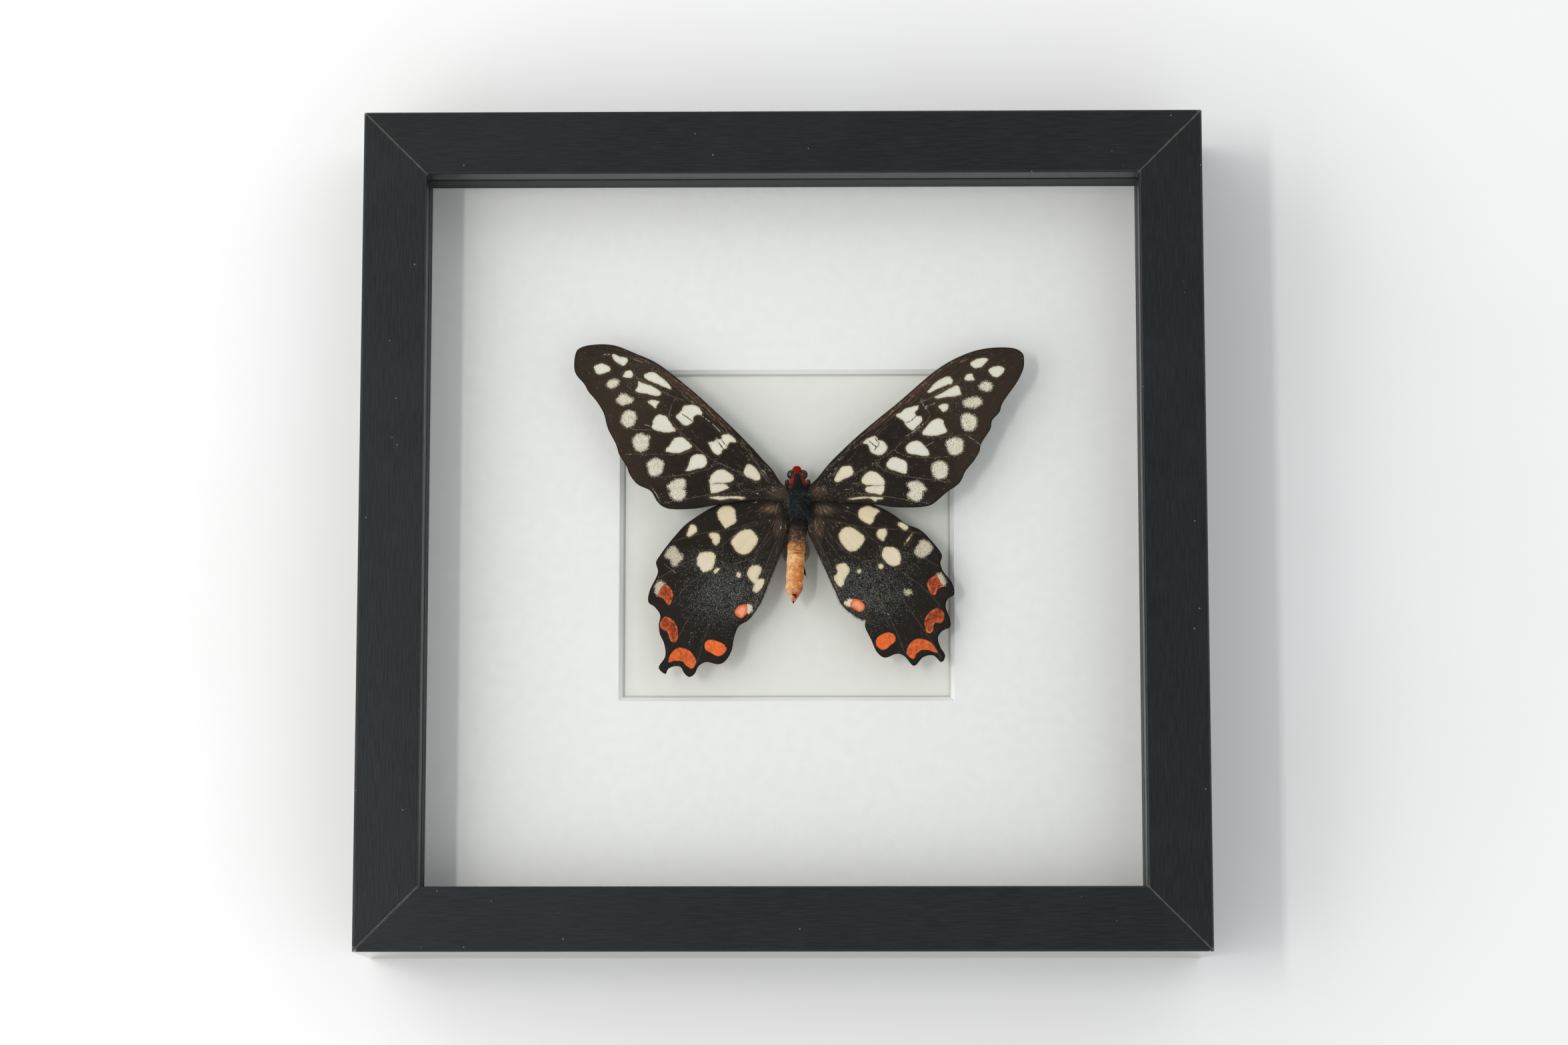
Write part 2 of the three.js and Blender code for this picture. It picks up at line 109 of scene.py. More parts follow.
# ---- markings of the four wings: closed spots, and the lines of veins, dark splits and scratches ----
LFW_PALE = {
    "apex_upper": [
        (-51, 53), (-50.2, 53.1), (-48.9, 52.5), (-47.6, 52.2), (-46.5, 52), (-46.3, 51.3),
        (-46.7, 50.4), (-47.6, 49.6), (-48.7, 50), (-49.8, 50.8), (-50.6, 51.7),
    ],
    "apex_lower": [
        (-56, 49.7), (-54.9, 50.2), (-53.9, 50.3), (-52.8, 49.9), (-51.7, 49.3), (-51.4, 48.6),
        (-51.9, 48), (-53.2, 47.4), (-54.5, 47.1), (-55.6, 47.4), (-56.1, 48.2), (-56.4, 49),
    ],
    "apex_small": [
        (-47.2, 47.7), (-46.3, 48.1), (-45.4, 48.2), (-44.8, 47.5), (-44.7, 46.7), (-45.2, 46.1),
        (-46.3, 45.9), (-47.2, 46.1), (-47.8, 46.4), (-47.4, 47),
    ],
    "wedge_outer": [
        (-41.2, 47.1), (-39.9, 47.5), (-38.8, 47.7), (-37.7, 47.1), (-36.6, 46.2), (-35.6, 45.6),
        (-34.5, 44.5), (-33.6, 43.4), (-33.2, 42.4), (-34, 42.6), (-35.6, 43.3), (-37.3, 44),
        (-39, 44.7), (-40.3, 45.3), (-41.4, 46),
    ],
    "wedge_inner": [
        (-43.1, 44.9), (-42, 44.5), (-40.7, 44), (-39.4, 43.6), (-37.9, 42.7), (-36.6, 41.8),
        (-36.3, 41), (-37.1, 40.5), (-38.6, 40.5), (-40.3, 41), (-41.8, 41.3), (-43.3, 41.6),
        (-44, 42.1), (-43.3, 43.2), (-43.2, 44),
    ],
    "triangle": [
        (-40.2, 38.9), (-39, 39.2), (-37.5, 38.9), (-36.7, 38.6), (-37.3, 37.9), (-37.7, 37),
        (-38.1, 36.5), (-38.8, 37.3), (-39.6, 38),
    ],
    "disc_a": [
        (-38.8, 32), (-38.6, 33.1), (-37.9, 34.2), (-36.8, 34.8), (-35.6, 34.6), (-34.7, 34.1),
        (-33.8, 32.9), (-33, 31.6), (-31.9, 30), (-32.3, 29.7), (-33.8, 29.5), (-35.6, 29.5),
        (-37.3, 29.9), (-38.8, 30.5), (-39, 30.9),
    ],
    "disc_b": [
        (-33.2, 26.5), (-32.3, 27.6), (-31.2, 28), (-29.7, 27.9), (-28.7, 27), (-27.6, 26.1),
        (-27, 25.2), (-27.8, 24.4), (-29.3, 23.8), (-30.8, 23.3), (-32.3, 23.2), (-33.8, 23.5),
        (-34.9, 23.8), (-34.5, 24.8), (-33.6, 25.5),
    ],
    "disc_c": [
        (-27.8, 20.6), (-27.2, 22), (-26.1, 22.7), (-24.8, 22.8), (-23.5, 22.6), (-22.8, 21.5),
        (-22.6, 20.2), (-23.1, 19.2), (-24.4, 18.7), (-26.3, 18.2), (-27.8, 17.8), (-28.9, 17.9),
        (-28.2, 19.1),
    ],
    "disc_d_upper": [
        (-21.7, 15.4), (-21.1, 16.7), (-20, 17.8), (-18.8, 18.2), (-17.5, 18.2), (-16.2, 17.4),
        (-14.9, 16.5), (-14.6, 15.4), (-15.5, 14.6), (-17.5, 14.3), (-19.6, 14.2), (-21.6, 14),
        (-21.9, 14.7),
    ],
    "disc_d_lower": [
        (-21.6, 13.7), (-19.6, 14), (-17.5, 14), (-16.4, 13.4), (-16, 12.9), (-17, 12.3), (-18.5, 11.7),
        (-20, 11.2), (-21.3, 11.2), (-21.6, 12.6),
    ],
    "cell_outer": [
        (-31.8, 34.4), (-30.8, 35.3), (-30, 36.4), (-29.7, 37.3), (-28.4, 37.7), (-26.9, 37.7),
        (-25.6, 37.3), (-24.6, 36.4), (-24, 35.3), (-24.1, 34.7), (-25.2, 34.8), (-26.1, 34.6),
        (-26.7, 33.5), (-26.7, 32.7), (-27.8, 31.8), (-28.9, 31.4), (-30, 32), (-31, 33.1),
        (-31.7, 33.8),
    ],
    "cell_inner": [
        (-22.2, 26.3), (-21.6, 26.5), (-20.3, 26.8), (-19.8, 27.7), (-19, 27.3), (-18.3, 27.6),
        (-18.1, 28.5), (-17, 28.9), (-15.7, 28.6), (-14.7, 27.9), (-13.9, 26.5), (-14.9, 26.5),
        (-15.7, 26.5), (-16.4, 25.7), (-16.6, 24.8), (-17.9, 24.1), (-18.5, 23), (-19.6, 22.7),
        (-20.7, 23.4), (-21.6, 24.8), (-21.8, 25.7),
    ],
    "cell_base": [
        (-11.6, 17.6), (-11.2, 18.9), (-10.3, 19.9), (-9.3, 19.6), (-8.2, 18.7), (-7.3, 17.6),
        (-6.7, 16.3), (-6.9, 15.4), (-8, 15), (-9.3, 15.5), (-10.6, 16.1), (-11.4, 16.7),
    ],
    "streak": [
        (-22, 9.7), (-20.5, 10.2), (-18.8, 10.2), (-17, 10.2), (-14.9, 10.2), (-13.1, 10.2), (-11, 9.7),
        (-11.9, 9.4), (-13.6, 9.5), (-15.7, 9.6), (-17, 9.3), (-18.8, 9.1), (-20.5, 9.5),
    ],
}
LFW_SPECKLED = {
    "margin_a": [
        (-52.4, 44), (-51.9, 44.9), (-51.1, 45.5), (-50, 45.4), (-49, 45), (-49.3, 44), (-50.2, 43.3),
        (-51.3, 42.9), (-52.2, 43.4),
    ],
    "margin_b": [
        (-49.6, 39.3), (-48.7, 40.3), (-48, 41), (-47, 40.8), (-45.9, 40.3), (-44.6, 39.2),
        (-45.2, 38.6), (-46.8, 38), (-47.6, 37.8), (-48.7, 38.3), (-49.3, 38.8),
    ],
    "margin_c": [
        (-48, 33.8), (-47.4, 35.1), (-46.3, 35.8), (-45, 35.8), (-44.2, 35.3), (-43.8, 34),
        (-44.2, 32.7), (-44.8, 31.6), (-46.1, 31), (-47.4, 31.7), (-47.9, 32.4),
    ],
    "margin_d": [
        (-44.6, 26.5), (-44.2, 27.9), (-43.1, 28.7), (-42, 28.9), (-40.9, 28.3), (-39.8, 28),
        (-40.1, 26.5), (-40.3, 25), (-41.2, 24.1), (-42.4, 23.8), (-43.7, 24.4), (-44.3, 25.5),
    ],
    "margin_e": [
        (-40.3, 19.8), (-39.4, 20.9), (-38.1, 21.5), (-36.6, 21.2), (-35.8, 20.4), (-35.7, 19.1),
        (-36, 17.8), (-36.8, 16.9), (-38.1, 16.4), (-39.4, 16.7), (-39.8, 17.8), (-39.9, 18.9),
    ],
    "margin_f": [
        (-34.3, 13.2), (-33.2, 14.1), (-32.1, 15), (-30.8, 15.3), (-29.3, 15.2), (-29.1, 14.1),
        (-29.2, 12.8), (-30, 12.3), (-29.1, 11.7), (-29.1, 10.6), (-29.7, 9.5), (-31, 9.1), (-32.3, 9.3),
        (-33, 10.2), (-33.6, 10.8), (-33.1, 11.9),
    ],
}
LFW_VEINS = {
    "costal": [
        (-48, 55.4), (-42.9, 52.1), (-37.7, 49.3), (-34.3, 46.6), (-30.8, 44.2), (-27.8, 41.8),
        (-25.2, 39.2), (-21.8, 35.5), (-17.9, 31.4), (-15.9, 28.9), (-12.7, 26.8), (-9.3, 22),
        (-5, 16.9), (-1.5, 12.8),
    ],
    "cell_lower": [
        (-34, 34.2), (-30.8, 30), (-26.5, 25.9), (-22.2, 22), (-18.8, 20.2), (-13.6, 17.6), (-8, 14.5),
        (-2.8, 12.7),
    ],
    "vein_a": [(-45, 47.3), (-41.2, 44.7), (-37.7, 42.8), (-32.5, 40.1), (-28.2, 38.9), (-26.5, 38.6)],
    "cell_end": [(-31.9, 39.9), (-33, 37.9), (-33.6, 35.9), (-34, 34.2)],
    "vein_b": [(-46.8, 30.5), (-39.4, 30.1), (-34, 30.9), (-31.2, 30.5)],
    "vein_c": [(-46.3, 22.8), (-39.4, 22.9), (-33.4, 22.6), (-29.5, 23), (-26.5, 24.1), (-23.9, 23.6)],
    "vein_d": [(-36.4, 15.8), (-28.7, 16.7), (-23.9, 17.9), (-21.8, 18.5), (-20.5, 19.6), (-18.3, 20.1)],
    "vein_e": [(-35.1, 8.2), (-28.7, 9.3), (-24.4, 10.2), (-20.9, 10.7), (-13.6, 11.4), (-2.8, 12.3)],
}
LFW_NICKS = {
    "cell_a": [(-30, 35), (-28.2, 33.8), (-26.5, 32.4)],
    "cell_b": [(-20, 27.5), (-18.8, 25.9), (-17.5, 24.1)],
    "cell_c": [(-18.4, 27.3), (-17.5, 26.2), (-16.5, 25.1)],
}
LFW_SCRATCHES = {
    "cell": [(-24.4, 34.6), (-21.8, 32.7), (-19.6, 30.7), (-18.4, 29.4)],
    "tornus": [(-38.8, 12.6), (-37.7, 11), (-36.6, 9.1)],
    "apex_a": [(-53.7, 52.9), (-52.8, 53.2), (-51.6, 53.1)],
    "disc": [(-40.8, 31.7), (-39.9, 31.4)],
}
RFW_PALE = {
    "apex_upper": [
        (55.9, 50.2), (56.6, 50.8), (57.7, 51.4), (59, 51.7), (60.6, 51.7), (61.2, 51.2), (60.6, 50.4),
        (59.7, 49.5), (58.6, 48.8), (57.3, 48.6), (56.4, 49.1),
    ],
    "apex_lower": [
        (61.5, 48.2), (62.3, 48.9), (63.7, 49.2), (65, 49.2), (65.9, 48.6), (65.9, 47.6), (65, 46.6),
        (63.9, 45.9), (62.8, 46.1), (61.9, 46.8), (61.4, 47.5),
    ],
    "apex_small": [
        (54.2, 45.7), (54.8, 46.6), (55.7, 47), (56.4, 46.8), (56.8, 45.9), (57.1, 45), (56.2, 44.9),
        (55.1, 44.8), (54.3, 45),
    ],
    "wedge_outer": [
        (42.9, 41.5), (43.6, 42.3), (44.9, 43.7), (46.3, 44.8), (47.8, 45.6), (49.1, 46.1), (50, 45.9),
        (50.6, 44.8), (50.4, 43.9), (49.1, 43.5), (47.4, 42.9), (45.4, 42), (43.8, 41.2),
    ],
    "wedge_inner": [
        (45.2, 39.7), (46.5, 40.6), (48.2, 41.6), (50, 42.6), (51.8, 43.4), (52.6, 42.8), (52.9, 41.5),
        (53.1, 40.6), (51.8, 40.1), (50, 39.9), (47.8, 39.7), (46.3, 39.4),
    ],
    "triangle": [
        (46.3, 37), (47.1, 37.6), (48.5, 37.8), (49.3, 37.4), (49.1, 36.3), (48.5, 35.6), (47.6, 35.4),
        (46.9, 36.2),
    ],
    "disc_a": [
        (41.5, 29.3), (42.5, 30.7), (43.8, 32.3), (45.4, 33.2), (46.9, 33.4), (47.7, 32.7), (48, 31.4),
        (48.7, 30.1), (48.9, 29.3), (47.4, 28.7), (45.2, 28.2), (43.2, 28.3), (41.7, 28.6),
    ],
    "disc_b": [
        (36.6, 24.7), (37.2, 25.7), (38.6, 26.5), (40.3, 26.7), (41.4, 26), (42.5, 24.7), (43.4, 23.4),
        (43.5, 22.5), (41.9, 22.1), (39.9, 22.5), (37.9, 22.8), (36.8, 23.4),
    ],
    "disc_c": [
        (30.8, 19.6), (31.5, 20.9), (32.6, 21.7), (33.9, 21.7), (35.5, 21.1), (36.8, 20.2), (36.9, 18.7),
        (36.7, 16.9), (35.5, 16.9), (33.7, 17.6), (31.9, 18.2), (31.1, 18.8),
    ],
    "disc_d_upper": [
        (23.4, 14.9), (23.8, 16), (24.9, 17.1), (26.4, 17.7), (28, 17.1), (29.3, 16), (30.2, 14.7),
        (30.1, 13.6), (28.4, 13.3), (26.7, 13.4), (24.5, 13.6), (23.5, 14.2),
    ],
    "disc_d_lower": [
        (24.5, 12.2), (25.1, 13.1), (26.9, 13.2), (28.4, 13.4), (30.1, 13.3), (30, 11.7), (29.1, 10.5),
        (27.5, 10.9), (26, 11.1), (24.8, 11.5),
    ],
    "cell_outer": [
        (33.7, 34.5), (35.2, 35.4), (36.1, 36.3), (37.7, 36.8), (39.2, 37.2), (40.3, 37.4), (40.2, 36.3),
        (39.4, 35.4), (39.9, 34.1), (41, 34.1), (41.5, 33.2), (40.8, 31.9), (39.9, 31), (38.8, 30),
        (37.5, 30.5), (36.6, 31.4), (36.1, 32.5), (35, 33.4), (34.1, 33.9),
    ],
    "cell_inner": [
        (23.8, 26), (24.5, 26.9), (25.6, 27.6), (27.1, 28.2), (28, 27.8), (28.2, 27.2), (29.7, 26.7),
        (30.6, 25.8), (31.1, 24.5), (30.4, 23.4), (29.1, 22.5), (27.5, 22.7), (26.2, 23.4), (25.7, 24.7),
        (25.1, 25.8),
    ],
    "cell_base": [
        (15.3, 15.1), (15.6, 16.2), (16.5, 17.6), (17.4, 18.9), (18.7, 19.3), (20.3, 19.1), (20.8, 18.2),
        (21, 17.1), (19.6, 16), (17.9, 15.3), (16.3, 14.5), (15.6, 14.7),
    ],
    "streak": [
        (19.2, 9.3), (20.9, 9.7), (23.1, 10), (25.3, 10), (27.5, 10), (29.7, 9.7), (29.7, 9.3),
        (28, 9.1), (27.5, 8.6), (25.8, 9.5), (23.1, 9.4), (20.9, 9.2),
    ],
}
RFW_SPECKLED = {
    "margin_a": [
        (58.5, 43), (59, 43.7), (60.1, 44.4), (61.2, 44.4), (62.2, 43.7), (62.1, 42.6), (61.2, 41.8),
        (60.1, 41.8), (59.3, 42.2),
    ],
    "margin_b": [
        (53.7, 38.1), (54.6, 39), (55.9, 39.5), (57.3, 39.8), (58.6, 39.4), (59.3, 38.5), (58.4, 37.4),
        (57.1, 36.8), (55.7, 36.8), (54.4, 37.2),
    ],
    "margin_c": [
        (53.2, 32.7), (53.5, 34.1), (54.6, 34.8), (55.9, 34.5), (57.1, 33.9), (57.5, 32.5), (57.3, 31),
        (56.4, 30), (55.1, 29.8), (54, 30.3), (53.4, 31.4),
    ],
    "margin_d": [
        (48.7, 26.3), (49.6, 27), (51.1, 27.5), (52.6, 27.3), (53.4, 26.5), (53.5, 24.9), (53.1, 23.4),
        (51.8, 22.7), (50, 22.7), (49.3, 23.8), (49, 24.9),
    ],
    "margin_e": [
        (44.4, 18.7), (44.9, 19.8), (46.3, 20.4), (47.8, 20.2), (48.7, 19.1), (48.9, 17.6), (48.5, 16.2),
        (47.1, 15.4), (45.6, 15.5), (44.9, 16.4), (44.4, 17.6),
    ],
    "margin_f": [
        (37, 13.8), (38.6, 14.3), (39.9, 14.4), (41.2, 13.8), (42.3, 12.4), (42.6, 12), (41.4, 11.5),
        (41.4, 10.2), (40.8, 9.1), (39.4, 8.7), (37.9, 9.5), (37.1, 10.4), (38, 11.7), (37.5, 12.9),
    ],
}
RFW_VEINS = {
    "costal": [
        (52.6, 51.5), (46.9, 47.9), (42.5, 44.1), (36.8, 39.4), (31.5, 34.3), (26.2, 30.1), (21.8, 26.9),
        (18.3, 23.4), (14.8, 19.3), (10.4, 14.4),
    ],
    "cell_lower": [
        (43, 32.7), (40.3, 30.1), (37.7, 28.3), (34.1, 25.1), (31.5, 22.9), (28, 20.5), (24.5, 18.4),
        (20.9, 16.9), (13.9, 13.5), (9.9, 12.2),
    ],
    "vein_a": [(52.6, 44.6), (46.9, 41.5), (42.5, 38.8), (40.3, 38.3)],
    "cell_end": [(41.2, 38.8), (42.3, 36.8), (43.8, 34.5), (43, 32.7)],
    "vein_b": [(56.2, 28.3), (51.3, 28.3), (46.9, 27.7), (43, 28.3), (40.3, 29.8)],
    "vein_c": [(49.1, 21.9), (44.7, 21.7), (39.9, 21.7), (35.9, 22.4), (33.3, 23.8)],
    "vein_d": [(49.6, 14.2), (43, 15.1), (37.7, 15.8), (33.3, 16.7), (29.7, 18.2), (28, 19.8)],
    "vein_e": [(43, 7.9), (35.9, 9.2), (29.7, 10.2), (24.9, 10.9), (16.5, 11.3), (9.9, 11.7)],
}
RFW_NICKS = {
    "cell_a": [(36.8, 32.2), (38.1, 32.7), (39.5, 34.1)],
    "cell_b": [(25.8, 26.6), (27.1, 25.5), (27.8, 24.9)],
    "cell_c": [(27.3, 27.6), (28.6, 25.8), (27.1, 23.8)],
}
RFW_SCRATCHES = {
    "cell": [(36.7, 28.2), (38.6, 29.3), (40.8, 31), (42.5, 32.3)],
    "cell_end": [(41.2, 38.8), (42, 37.2), (42.5, 36.5)],
    "margin": [(55.5, 27.8), (56.8, 26.9), (58.5, 25.5)],
    "disc": [(42.4, 25.1), (44.3, 26)],
    "apex": [(42.7, 37.1), (45.2, 37.9)],
}
LHW_PALE = {
    "costa_top": [
        (-19.5, 5.8), (-18.6, 6.9), (-17.3, 7.5), (-15.6, 7.4), (-14.3, 6.3), (-14.2, 5), (-13.9, 3),
        (-14.9, 2), (-16.2, 1.3), (-17, 0.8), (-17.6, 1.5), (-18.7, 3.1), (-19.3, 4.4),
    ],
    "costa_b": [
        (-28.6, -1.3), (-28.3, 0.2), (-27.7, 1.5), (-27.2, 2.1), (-26.3, 1.7), (-25.5, 0.7),
        (-25.8, -0.4), (-26.8, -1.1), (-27.9, -1.8),
    ],
    "second": [
        (-21.9, -0.9), (-20.9, -0.5), (-19.8, -0.5), (-18.8, -1.3), (-18.7, -2.3), (-19.1, -3.6),
        (-19.8, -4.2), (-20.6, -3.9), (-21.1, -2.6), (-21.7, -1.7),
    ],
    "cell": [
        (-15.4, -3.4), (-14.9, -2.1), (-13.6, -0.8), (-12.1, 0.1), (-10.5, 0.5), (-9.2, 0.2),
        (-8.3, -0.8), (-7.5, -2.1), (-7.7, -3.4), (-8.7, -5), (-9.9, -6.3), (-11.4, -7), (-12.9, -6.7),
        (-14, -5.8), (-14.9, -4.5),
    ],
    "disc": [
        (-25.5, -9), (-25.4, -7.5), (-24.4, -6.5), (-22.8, -6.2), (-21.3, -6.2), (-20.2, -6.9),
        (-20, -8.4), (-20.4, -9.9), (-21.1, -11.2), (-22.4, -12.1), (-23.7, -12.2), (-24.8, -11),
        (-25.4, -10.1),
    ],
    "dot_a": [
        (-20.4, -11.7), (-19.8, -11.2), (-19.3, -10.9), (-18.8, -11.2), (-19.3, -12.1), (-19.8, -12.7),
        (-20.5, -12.4),
    ],
    "dot_b": [
        (-13.8, -12.7), (-13.2, -12.2), (-12.5, -12.9), (-12.6, -13.6), (-13.2, -14.1), (-13.7, -13.5),
    ],
    "hourglass": [
        (-10.5, -12.9), (-10.1, -11.4), (-9.2, -10.4), (-7.9, -10.3), (-6.8, -10.6), (-6.3, -11.6),
        (-6.8, -12.9), (-7.4, -14.2), (-5.7, -14.4), (-5.4, -15.1), (-5.9, -16.2), (-6.8, -17.7),
        (-7.9, -18.4), (-8.9, -17.9), (-8.8, -16.8), (-8.5, -15.8), (-9.6, -14.7), (-10.3, -13.8),
    ],
    "anal_white": [(-10.7, -22), (-9.9, -21.7), (-9, -22.9), (-9.2, -23.8), (-9.9, -24.6), (-10.7, -24.6)],
}
LHW_SPECKLED = {
    "margin_cream": [
        (-34.9, -7.5), (-34.5, -6.2), (-33.6, -5.2), (-32.7, -4.5), (-32, -5), (-31, -6.3),
        (-29.8, -7.7), (-30.1, -8.4), (-30.9, -9.3), (-31.9, -10.3), (-33, -9.8), (-32.9, -8.8),
        (-34, -8),
    ],
    "margin_top": [
        (-37.9, -17.7), (-37.6, -16.2), (-37.1, -15.3), (-36.2, -15), (-35.2, -15.7), (-36, -16.7),
        (-36.7, -17.9), (-37.1, -19), (-37.5, -18.6),
    ],
}
LHW_RED = {
    "margin_a": [
        (-37.2, -19.1), (-36.7, -17.9), (-36, -16.7), (-35.2, -15.7), (-33.6, -16.8), (-32.8, -18.1),
        (-32.7, -19.6), (-33.1, -21.1), (-33.8, -22.1), (-34.5, -21.6), (-35.1, -20.5), (-36.4, -19.7),
    ],
    "margin_b": [
        (-36.4, -28.1), (-36, -26.6), (-35.1, -25.5), (-34, -25.7), (-32.5, -26.8), (-31.4, -28.5),
        (-31.1, -30.4), (-31.2, -31.8), (-32, -33), (-32.9, -33), (-33.6, -31.8), (-34, -30.4),
        (-34.9, -29.6), (-36, -29.1),
    ],
    "crescent": [
        (-34, -38.9), (-33.6, -37.4), (-32.7, -35.9), (-31.2, -34.8), (-29.4, -34.9), (-27.6, -35.8),
        (-26.5, -37.2), (-25.7, -38.6), (-26.1, -40), (-27, -40.9), (-28.1, -40.4), (-29, -39.7),
        (-29.6, -38.9), (-30.9, -38.6), (-32.7, -38.7), (-33.8, -39.1),
    ],
    "margin_c": [
        (-23.2, -34.5), (-23, -33.3), (-22, -32.5), (-20.6, -32.5), (-18.7, -33.2), (-17.3, -34.1),
        (-16.8, -35.2), (-17.5, -36.5), (-18.6, -37.2), (-19.8, -37.1), (-21.3, -36.3), (-22.8, -35.4),
    ],
    "anal": [
        (-14.3, -24.4), (-13.8, -23.1), (-12.7, -22.2), (-11.4, -22), (-10.7, -22.1), (-10.7, -24.6),
        (-11.2, -25.1), (-12.3, -26), (-13.4, -25.5),
    ],
}
LHW_VEINS = {
    "costal": [
        (-35.4, -3.9), (-30.5, -2.4), (-25, -0.9), (-19.5, 0.1), (-13.6, 0.9), (-8.5, 2.8), (-1.9, 3.7),
    ],
    "radial": [
        (-36.7, -14), (-34.2, -12.5), (-31.6, -11), (-28.7, -9.3), (-25.7, -8.2), (-20.9, -6.2),
        (-18, -4.3), (-15.8, -2.4), (-12.1, 0.5), (-4.8, 2.8),
    ],
    "medial_a": [
        (-33.4, -22.2), (-31.2, -19.6), (-29.4, -17.3), (-26.8, -15.1), (-22.4, -12.1), (-18, -9.9),
    ],
    "medial_b": [
        (-32.3, -33.7), (-30.5, -30.7), (-28.3, -26.6), (-25.4, -22.9), (-20.9, -16.2), (-18, -11.7),
        (-17.6, -9.5),
    ],
    "cubital": [
        (-25.4, -39.3), (-23.9, -34.1), (-22.4, -29.6), (-20.9, -26.3), (-18, -19.9), (-15.1, -14.7),
        (-13.6, -9.5),
    ],
    "cell_end": [(-18, -5), (-18, -7.3), (-17.6, -9.5), (-15.8, -9.9), (-13.6, -9.5)],
    "cell_lower": [(-13.6, -9.5), (-9.9, -8.3), (-7, -4.7), (-4.4, -0.9), (-0.8, 1.7)],
    "anal_a": [(-14.7, -23.7), (-13.6, -19.9), (-11, -14), (-8.5, -8.8), (-4.4, -2.8), (-0.4, 0.9)],
    "anal_b": [(-8.3, -18.4), (-6.3, -14), (-4.1, -8), (-1.9, -3.2), (0.3, 0.5)],
}
LHW_SCRATCHES = {
    "a": [(-34.2, -10.6), (-33.2, -11.4), (-32.3, -12.1)],
    "b": [(-27.8, -33.3), (-27.3, -32.2)],
    "c": [(-27, -30.4), (-26.5, -30.3)],
}
RHW_PALE = {
    "costa_top": [
        (22.4, 5), (22.8, 6.3), (24.1, 7.2), (25.6, 7.4), (26.8, 6.9), (28.1, 6.5), (28.8, 5.8),
        (27.9, 5), (27.2, 4.1), (26.8, 2.8), (26.1, 2), (24.8, 2.2), (23.5, 3.1), (22.7, 3.9),
    ],
    "costa_b": [(34, 2.1), (35.3, 2.5), (36.6, 1.8), (37.2, 0.9), (36.8, 0.2), (35.8, 0.4), (34.9, 1.1)],
    "second": [
        (27.8, -0.9), (28.3, 0.2), (29.4, 0.7), (30.6, 0.5), (30.9, -0.6), (30.3, -2.3), (29.8, -3.1),
        (29, -2.6), (28.1, -1.9),
    ],
    "cell": [
        (16.6, -1.3), (17.3, 0.1), (18.2, 0.9), (19.9, 1.1), (21.5, 0.5), (23.2, -0.8), (24.3, -2.3),
        (23.9, -3.4), (22.8, -4.9), (21.5, -6), (19.9, -6.1), (18.6, -5.2), (17.5, -3.9), (16.9, -2.6),
    ],
    "disc": [
        (29.4, -7.7), (29.5, -6.2), (30.1, -5.1), (31.6, -4.9), (33.3, -5.2), (34.6, -6.5), (35, -8.4),
        (34.7, -9.7), (33.8, -10.4), (32.5, -10.5), (31.1, -9.7), (30, -8.8),
    ],
    "dot_a": [(28.3, -10.4), (28.9, -9.8), (29.6, -10.1), (29.8, -10.8), (29.2, -11.4), (28.6, -11.2)],
    "dot_b": [(22, -11.9), (22.6, -11.4), (23.2, -11.9), (23, -12.6), (22.3, -12.7)],
    "hourglass": [
        (15.8, -10.8), (16.7, -9.9), (18, -9.7), (19.1, -10.3), (19.7, -11.4), (19.5, -12.7),
        (18.8, -13.8), (18.2, -14.9), (17.9, -16.2), (16.9, -16.8), (16, -16), (15.3, -14.9),
        (15.1, -13.6), (15.8, -13.2), (16.2, -12.1),
    ],
    "anal_white": [
        (18.2, -21.6), (18.8, -20.9), (19.9, -20.3), (20.8, -20.5), (21, -21.4), (20.6, -22.5),
        (19.5, -22.7),
    ],
    "thin_line": [
        (36, -4.2), (36.6, -3.2), (37.3, -2.1), (38.3, -0.9), (38, -1.7), (37.3, -2.8), (36.6, -3.6),
    ],
}
RHW_SPECKLED = {
    "margin_cream": [
        (39.2, -6), (39.9, -4.9), (40.4, -4.3), (40.8, -3.2), (42.1, -2.9), (43.2, -3.7), (44.2, -5),
        (43.7, -6.2), (42.6, -7.1), (41.5, -7.9), (40.2, -7.7), (39.5, -6.7),
    ],
    "margin_top": [
        (45.6, -13.2), (46.7, -12.9), (47.6, -14), (48.1, -15.3), (47.9, -16.2), (47, -15.9),
        (46.3, -14.7),
    ],
    "fleck": [(36.2, -18.4), (36.9, -17.7), (37.9, -18.1), (38, -18.7), (37.1, -19.1)],
}
